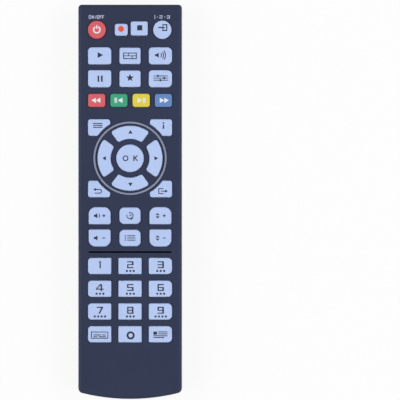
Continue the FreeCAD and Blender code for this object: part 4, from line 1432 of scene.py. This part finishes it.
@dataclass
class Keypad:
    """The 41 keys, their legends, the mat that carries them and the ring round the pad."""

    shop: Workshop
    press: PrintPress
    pill_top: float = 17.6 * MM
    digit_rise: float = 0.6
    digit_shift: float = 0.15
    mark_drop: float = -2.3
    mark_size: float = 0.9
    mark_pitch: float = 1.6
    corner_key_shift: float = 1.0
    arrow_shift: float = 0.85

    def legends(self) -> list[Legend]:
        """Every legend apart from the digits.

        Returns:
            One legend for each key.
        """
        up, out = self.corner_key_shift, self.arrow_shift
        return [
            Legend("power", Glyph.POWER, INK_WHITE, (0.0, 0.15)),
            Legend("record", Glyph.RECORD, INK_RED, (-0.1, 0.4)),
            Legend("stop", Glyph.STOP, shift=(0.25, 0.3)),
            Legend("source", Glyph.SOURCE, shift=(0.3, 1.0)),
            Legend("play", Glyph.PLAY, shift=(0.35, 0.35)),
            Legend("guide", Glyph.GUIDE),
            Legend("audio", Glyph.AUDIO, shift=(0.4, 0.3)),
            Legend("pause", Glyph.PAUSE, shift=(0.25, 0.0)),
            Legend("favourite", Glyph.FAVOURITE, shift=(0.0, 0.4)),
            Legend("quick_menu", Glyph.SLIDERS, shift=(0.2, 0.3)),
            Legend("red", Glyph.REWIND, INK_WHITE, (-0.4, 0.0)),
            Legend("green", Glyph.PREVIOUS, INK_WHITE),
            Legend("yellow", Glyph.NEXT, INK_WHITE),
            Legend("blue", Glyph.FORWARD, INK_WHITE, (0.5, 0.0)),
            Legend("menu", Glyph.MENU, shift=(-0.6, up)),
            Legend("info", Glyph.INFO, shift=(1.2, up)),
            Legend("up", Glyph.UP, shift=(0.2, out)),
            Legend("down", Glyph.DOWN, shift=(0.2, -out)),
            Legend("left", Glyph.LEFT, shift=(0.2 - out, 0.0)),
            Legend("right", Glyph.RIGHT, shift=(out, 0.0)),
            Legend("ok", Glyph.OK, shift=(0.3, 0.0)),
            Legend("back", Glyph.BACK, shift=(-0.6, -up)),
            Legend("exit", Glyph.EXIT, shift=(1.0, -up)),
            Legend("volume_up", Glyph.LOUDER),
            Legend("recall", Glyph.RECALL),
            Legend("channel_up", Glyph.CHANNEL_UP),
            Legend("volume_down", Glyph.QUIETER),
            Legend("channel_list", Glyph.LIST),
            Legend("channel_down", Glyph.CHANNEL_DOWN),
            Legend("subtitle", Glyph.SUBTITLE, shift=(0.0, -0.4)),
            Legend("0", Glyph.ZERO, shift=(0.3, -0.5)),
            Legend("text", Glyph.PAGE),
        ]

    def digits(self) -> list[Legend]:
        """The legends of the keys 1 to 9, in the upper part of each key.

        Returns:
            One legend for each digit.
        """
        names = [
            Glyph.ONE, Glyph.TWO, Glyph.THREE, Glyph.FOUR, Glyph.FIVE,
            Glyph.SIX, Glyph.SEVEN, Glyph.EIGHT, Glyph.NINE,
        ]
        return [
            Legend(str(place), glyph, shift=(self.digit_shift, self.digit_rise))
            for place, glyph in enumerate(names, start=1)
        ]

    def small_marks(self, digit: str) -> tuple[Mark, ...]:
        """The row of small marks under a digit: none on 1, four on 7 and 9, and else three.

        Args:
            digit: The key's digit.

        Returns:
            The marks, from the key's middle.
        """
        count = {"1": 0, "7": 4, "9": 4}.get(digit, 3)
        drop = self.mark_drop - self.digit_rise
        return tuple(
            Block(((place - (count - 1) / 2) * self.mark_pitch, drop), self.mark_size, self.mark_size)
            for place in range(count)
        )

    def build(self) -> None:
        """Dresses the keys, prints their legends and finishes the mat and the ring."""
        rubbers = {
            "key_power": RED_RUBBER, "key_red": RED_RUBBER, "key_green": GREEN_RUBBER,
            "key_yellow": YELLOW_RUBBER, "key_blue": BLUE_RUBBER,
        }
        for node in sorted(name for name in self.shop.nodes if name.startswith("key_")):
            self.shop.dress(
                node, rubbers.get(node, PALE_RUBBER), CARBON_INK,
                lambda face: face.center.z < self.pill_top,
            )
        self.shop.dress("keypad_mat", MAT_RUBBER)
        self.shop.dress("nav_ring", RING_PAINT)
        for legend in self.legends() + self.digits():
            self.print_legend(legend)

    def print_legend(self, legend: Legend) -> None:
        """Prints one legend on its key.

        Args:
            legend: The legend.
        """
        node = "key_" + legend.key
        middle = middle_of(node)
        marks = legend.glyph.value
        if legend.key.isdigit() and legend.key != "0":
            marks = marks + self.small_marks(legend.key)
        place = (middle.x + legend.shift[0], middle.y + legend.shift[1])
        slot = "carbon" if legend.ink is INK_DARK else "pale_key"
        self.press.print_on("legend_" + legend.key, marks, place, node, node, slot, legend.ink)


@dataclass
class CaseShells:
    """The two shells of the case, with the dark inlay and the printed labels on the face."""

    shop: Workshop
    press: PrintPress
    body: str = "remote_body"
    inlay_middle: Point = (0.0, -23.5)
    inlay_width: float = 38.9
    inlay_height: float = 0.84
    label_shift: Point = (-0.5, 6.0)
    scoop_middle: Point = (18.2, -18.5)
    scoop_radius: float = 22.0
    scoop_straight: float = 16.0
    scoop_bow: float = 72.0
    scoop_fit: float = 0.12

    def build(self) -> None:
        """Dresses the shells and adds the inlay and the labels."""
        self.shop.dress("front_case", FRONT_PLASTIC)
        self.shop.dress("rear_case", REAR_PLASTIC, SCOOP_PLASTIC, self.in_scoop)
        self.inlay()
        self.labels()

    def in_scoop(self, face: bpy.types.MeshPolygon) -> bool:
        """Says whether a face of the rear shell lies on the finger scoop's barrel.

        Args:
            face: The face.

        Returns:
            True where its middle is on the barrel that the scoop was cut with.
        """
        place = face.center / MM
        run = max(abs(place.x) - self.scoop_straight / 2, 0.0)
        wall = self.scoop_radius - self.scoop_bow + math.sqrt(self.scoop_bow ** 2 - run ** 2)
        reach = math.hypot(place.y - self.scoop_middle[0], place.z - self.scoop_middle[1])
        return abs(reach - wall) < self.scoop_fit

    def inlay(self) -> None:
        """Fills the groove between the keys and the numbers with dark paint."""
        half = self.inlay_height / 2
        reach = self.inlay_width / 2 - half
        marks = (
            Block((0.0, 0.0), 2 * reach, self.inlay_height),
            Disc((-reach, 0.0), half, 16), Disc((reach, 0.0), half, 16),
        )
        self.press.print_on(
            "divider_inlay", marks, self.inlay_middle, "front_case", self.body, "carbon", GROOVE_PAINT
        )

    def labels(self) -> None:
        """Prints ON/OFF over the power key and 1, 2, 3 over the source key."""
        for key, marks in (("key_power", self.on_off()), ("key_source", self.one_two_three())):
            middle = middle_of(key)
            place = (middle.x + self.label_shift[0], middle.y + self.label_shift[1])
            self.press.print_on(
                "label_over_" + key, marks, place, "front_case", self.body, "front_shell", INK_LABEL
            )

    @staticmethod
    def on_off() -> tuple[Mark, ...]:
        """The letters of ON/OFF, 1.5 mm high.

        Returns:
            The strokes of the letters.
        """
        thin = 0.32
        high, half = 0.7, 0.42
        marks: list[Mark] = [Bar((-0.25, -high), (0.25, high), thin)]
        for x in (-2.75, 1.05):
            marks += [
                Bar((x - half, -high), (x - half, high), thin),
                Bar((x + half, -high), (x + half, high), thin),
                Bar((x - half, high), (x + half, high), thin),
                Bar((x - half, -high), (x + half, -high), thin),
            ]
        marks += [
            Bar((-1.75, -high), (-1.75, high), thin), Bar((-0.95, -high), (-0.95, high), thin),
            Bar((-1.75, high), (-0.95, -high), thin),
        ]
        for x in (1.95, 3.05):
            marks += [
                Bar((x, -high), (x, high), thin), Bar((x, high), (x + 0.8, high), thin),
                Bar((x, 0.0), (x + 0.65, 0.0), thin),
            ]
        return tuple(marks)

    @staticmethod
    def one_two_three() -> tuple[Mark, ...]:
        """The numbers 1, 2 and 3 with dots between them.

        Returns:
            The strokes of the numbers.
        """
        marks: list[Mark] = [
            Block((-3.0, 0.0), 0.34, 1.9), Disc((-1.75, 0.0), 0.24, 10), Disc((1.6, 0.0), 0.24, 10),
        ]
        for shift, strokes in ((-0.1, "abged"), (3.3, "abgcd")):
            for side in square_digit(strokes, 0.72, 0.28):
                marks.append(Block((side.middle[0] + shift, side.middle[1]), side.width, side.height))
        return tuple(marks)


@dataclass
class BatteryBay:
    """The door, its latch, the contacts and the two cells."""

    shop: Workshop
    press: PrintPress
    body: str = "remote_body"
    cell_x: float = 5.45
    cell_length: float = 44.5
    band_length: float = 9.0
    sign_inset: float = 6.5
    sign_size: float = 3.2
    sign_width: float = 0.8
    steps: int = 64
    sharp_edge: float = 35.0

    def build(self) -> None:
        """Dresses the door and the contacts, and replaces the plain cells."""
        for node in ("battery_door", "door_latch"):
            self.shop.dress(node, REAR_PLASTIC)
        for node in ("negative_contact", "positive_contact", "bridge_contact"):
            self.shop.dress(node, NICKEL_PLATE)
        self.cells()

    def profile(self) -> list[tuple[float, float, int]]:
        """A cell's outline from the middle of its base to the middle of its nub.

        Returns:
            Radius, distance from the base, and the finish of the stretch that starts there:
            0 film, 1 band, 2 metal and 3 washer.
        """
        top = self.cell_length
        return [
            (0.0, 0.12, 2), (3.6, 0.12, 2), (3.9, 0.0, 2), (4.2, 0.0, 2), (4.35, 0.1, 0),
            (4.75, 0.03, 0), (5.08, 0.14, 0), (5.25, 0.42, 0), (5.25, top - self.band_length, 1),
            (5.25, top - 1.25, 1), (5.12, top - 0.98, 1), (4.85, top - 0.85, 1), (4.45, top - 0.83, 3),
            (4.3, top - 1.0, 3), (2.5, top - 1.0, 2), (2.35, top - 0.86, 2), (1.95, top - 0.8, 2),
            (1.88, top - 0.2, 2), (1.7, top - 0.04, 2), (1.45, top, 2), (0.0, top, 2),
        ]

    def cells(self) -> None:
        """Turns both cells on one mesh, and prints a plus and a minus on each."""
        low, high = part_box("battery_cells")
        z = (low.z + high.z) / 2
        sheet = bmesh.new()
        nubs = {-1: high.y, 1: low.y}
        for side, nub_end in nubs.items():
            base = nub_end + side * self.cell_length * MM
            self.turn_cell(sheet, Vector((side * self.cell_x * MM, base, z)), -side)
            self.signs(side, nub_end / MM)
        mesh = drawn_mesh("dressed_cells", sheet)
        mesh.shade_smooth()
        mesh.set_sharp_from_angle(angle=math.radians(self.sharp_edge))
        finishes = (CELL_FILM, CELL_BAND, ZINC_PLATE, CELL_WASHER)
        piece = self.shop.mount("dressed_cells", mesh, self.body, "cell_sleeve", *finishes)
        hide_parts("battery_cells")

    def signs(self, side: int, nub_end: float) -> None:
        """Prints a cell's plus and minus on the side that shows when the door is open.

        Args:
            side: -1 for the cell on the left and 1 for the one on the right, seen from the keys.
            nub_end: Where the cell's nub ends, in millimetres.
        """
        x = side * self.cell_x
        plus_y = nub_end + side * self.sign_inset
        minus_y = nub_end + side * (self.cell_length - self.sign_inset)
        for name, marks, y, ink in (
            ("plus", plus(0.0, 0.0, self.sign_size, self.sign_width), plus_y, INK_DARK),
            ("minus", (Block((0.0, 0.0), self.sign_size, self.sign_width),), minus_y, CELL_BAND),
        ):
            place = "left" if side < 0 else "right"
            self.press.print_on(
                f"{name}_on_{place}_cell", marks, (x, y), "battery_cells", self.body, "cell_sleeve",
                ink, from_above=False,
            )

    def turn_cell(self, sheet: bmesh.types.BMesh, base: Vector, way: int) -> None:
        """Turns one cell's outline round its axis.

        Args:
            sheet: The mesh that gets the cell.
            base: The middle of the cell's base, in metres.
            way: 1 where the nub faces +Y, -1 where it faces -Y.
        """
        rings = []
        for radius, along, _ in self.profile():
            count = self.steps if radius > 0 else 1
            ring = []
            for step in range(count):
                turn = 2 * math.pi * step / count
                reach = Vector((radius * math.cos(turn), way * along, radius * math.sin(turn)))
                ring.append(sheet.verts.new(base + reach * MM))
            rings.append(ring)
        for (_, _, finish), first, last in zip(self.profile(), rings, rings[1:]):
            for step in range(self.steps):
                following = (step + 1) % self.steps
                quad = [
                    first[step % len(first)], last[step % len(last)],
                    last[following % len(last)], first[following % len(first)],
                ]
                corners = list(dict.fromkeys(quad))
                sheet.faces.new(corners[::way]).material_index = finish


@dataclass
class Electronics:
    """The board, what is soldered to it and its screws."""

    shop: Workshop
    chip_row: float = 58.25 * MM
    chip_half: float = 3.75 * MM
    board_z: float = 14.8 * MM
    wire_drop: float = 1.19 * MM
    can_foot: float = 1.0 * MM

    def build(self) -> None:
        """Dresses the board and its parts, with metal legs and wires where they have them."""
        shop = self.shop
        shop.dress("circuit_board", BOARD_MASK)
        shop.dress("contact_pads", CARBON_INK)
        shop.dress("board_screws", ZINC_PLATE)
        shop.dress(
            "controller_chip", CHIP_EPOXY, NICKEL_PLATE,
            lambda face: abs(face.center.y - self.chip_row) > self.chip_half,
        )
        wire_z = self.board_z - self.wire_drop
        shop.dress("resonator", ORANGE_CERAMIC, NICKEL_PLATE, lambda face: face.center.z > wire_z)
        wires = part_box("capacitor")[0].y + self.can_foot
        shop.dress("capacitor", CAN_SLEEVE, ZINC_PLATE, lambda face: face.center.y < wires)
        shop.dress("smd_parts", CHIP_EPOXY)


@dataclass
class InfraredEnd:
    """The diode and the dark window in front of it."""

    shop: Workshop
    diode_back: float = 80.35 * MM

    def build(self) -> None:
        """Dresses the window, the diode's lens and its wires."""
        self.shop.dress("ir_window", DARK_WINDOW)
        self.shop.dress("ir_led", LENS_EPOXY, NICKEL_PLATE, lambda face: face.center.y < self.diode_back)


@dataclass
class Stage:
    """The floor, the soft light and the camera over the keys."""

    photo_width: float = 187.0
    photo_shift: Point = (32.7, 0.85)
    face_z: float = 21.0
    lens: float = 300.0
    sensor: float = 36.0
    floor_half: float = 4.0
    world_strength: float = 0.368
    world_end_strength: float = 0.08
    world_floor_share: float = 0.3
    world_door_glow: float = 0.6
    lower_half: Point = (-0.1, -0.4)
    end_fade: Point = (0.1, 0.6)
    floor_fade: Point = (-0.65, -0.92)
    door_fade: Point = (-0.55, -0.85)
    paper_white: float = 0.95
    paper_glow: float = 0.88
    gap_below: Point = (26 * MM, 94 * MM)
    lamp_distance: float = 1.1
    upper_size: Point = (0.6, 1.2)
    upper_tilt: float = 34.0
    upper_power: float = 5.9
    lower_size: Point = (0.28, 0.7)
    lower_tilt: float = 51.0
    lower_power: float = 7.8

    def build(self) -> None:
        """Builds the whole stage."""
        bpy.context.scene.view_settings.view_transform = "Standard"
        self.world()
        self.floor()
        for side in (-1, 1):
            self.lamp(f"upper_lamp_{side}", side * self.upper_tilt, self.upper_power, self.upper_size)
            below = side * (180 - self.lower_tilt)
            self.lamp(f"lower_lamp_{side}", below, self.lower_power, self.lower_size)
        self.camera()

    @staticmethod
    def _background_rays(bench: Bench) -> bpy.types.NodeSocket:
        """Tells the rays that see the background from those that only light the remote.

        Args:
            bench: The world's bench.

        Returns:
            1 for a ray from the camera, from a gloss or through glass, and 0 for any other.
        """
        path = bench.node("LightPath")
        seen = bench.calc("MAXIMUM", path.outputs["Is Camera Ray"], path.outputs["Is Glossy Ray"])
        return bench.calc("MAXIMUM", seen, path.outputs["Is Transmission Ray"])

    def world(self) -> None:
        """A plain pale world, white where it is seen.

        It is dimmer straight below and off both ends, and brighter below the lower end, where an
        open door faces it.
        """
        world = bpy.data.worlds.new("studio")
        bpy.context.scene.world = world
        bench = Bench.on(world)
        way = bench.axes(bench.node("TexCoord").outputs["Generated"])
        lower = bench.remap(way["Z"], *self.lower_half)
        upper = bench.calc("SUBTRACT", 1.0, lower)
        endward = bench.calc("MULTIPLY", bench.calc("MULTIPLY", way["Y"], way["Y"]), upper)
        level = bench.remap(endward, *self.end_fade, self.world_strength, self.world_end_strength)
        below = bench.remap(way["Z"], *self.floor_fade, 1.0, self.world_floor_share)
        level = bench.calc("MULTIPLY", level, below)
        doorward = bench.remap(way["Y"], *self.door_fade, 0.0, self.world_door_glow)
        level = bench.calc("ADD", level, bench.calc("MULTIPLY", doorward, lower))
        skies = [bench.node("Background"), bench.node("Background")]
        for sky in skies:
            sky.inputs["Color"].default_value = (1.0, 1.0, 1.0, 1.0)
        bench.feed(skies[0].inputs["Strength"], level)
        studio = bench.layer(self._background_rays(bench), skies[0].outputs[0], skies[1].outputs[0])
        bench.feed(bench.node("OutputWorld").inputs[0], studio)

    def floor(self) -> None:
        """A white floor that keeps a faint shadow and lets light through from below.

        Right below the remote, mirrored light also passes it.
        """
        half = self.floor_half
        mesh = bpy.data.meshes.new("floor")
        corners = [(-half, -half, 0), (half, -half, 0), (half, half, 0), (-half, half, 0)]
        mesh.from_pydata(corners, [], [(0, 1, 2, 3)])
        floor = placed("floor", mesh)
        material = bpy.data.materials.new("white_floor")
        bench = Bench.on(material)
        path = bench.node("LightPath").outputs
        paper = bench.node("BsdfDiffuse")
        paper.inputs["Color"].default_value = dimmed((1.0, 1.0, 1.0, 1.0), self.paper_white)
        glow = bench.node("Emission")
        lit = bench.layer(self.paper_glow, paper.outputs[0], glow.outputs[0])
        place = bench.axes(bench.node("TexCoord").outputs["Object"])
        under = path["Is Glossy Ray"]
        for axis, reach in zip("XY", self.gap_below):
            near = bench.calc("LESS_THAN", bench.calc("ABSOLUTE", place[axis]), reach)
            under = bench.calc("MULTIPLY", under, near)
        through = bench.calc("MAXIMUM", path["Is Diffuse Ray"], path["Is Shadow Ray"])
        for ray in (bench.node("NewGeometry").outputs["Backfacing"], under):
            through = bench.calc("MAXIMUM", through, ray)
        sheet = bench.layer(through, lit, bench.node("BsdfTransparent").outputs[0])
        bench.feed(bench.node("OutputMaterial").inputs[0], sheet)
        mesh.materials.append(material)

    def lamp(self, name: str, tilt: float, power: float, size: Point) -> None:
        """A long soft lamp beside the remote.

        Args:
            name: The lamp's name.
            tilt: Its angle from straight up, towards +X, in degrees.
            power: Its power in watts.
            size: Its width round the remote and its length along it.
        """
        light = bpy.data.lights.new(name, "AREA")
        light.shape = "RECTANGLE"
        light.size, light.size_y = size
        light.energy = power
        lamp = placed(name, light)
        turn = math.radians(tilt)
        lamp.location = Vector((math.sin(turn), 0.0, math.cos(turn))) * self.lamp_distance
        lamp.rotation_euler = (0.0, turn, 0.0)

    def camera(self) -> None:
        """A long lens straight over the keys, with the photograph's frame."""
        data = bpy.data.cameras.new("camera")
        data.lens = self.lens
        data.sensor_width = self.sensor
        data.clip_end = 10.0
        camera = placed("camera", data)
        distance = self.photo_width * self.lens / self.sensor
        x, y = self.photo_shift
        camera.location = Vector((x, y, self.face_z + distance)) * MM
        bpy.context.scene.camera = camera


def main() -> None:
    """Builds the dressed remote and its stage."""
    logging.basicConfig(level=logging.INFO, format="%(message)s")
    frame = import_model()
    shop = Workshop(frame["nodes"])
    press = PrintPress(shop)
    for part in (
        CaseShells(shop, press), Keypad(shop, press), BatteryBay(shop, press),
        Electronics(shop), InfraredEnd(shop), Stage(),
    ):
        part.build()
        LOG.info("built %s", type(part).__name__)


if __name__ == "__main__":
    main()
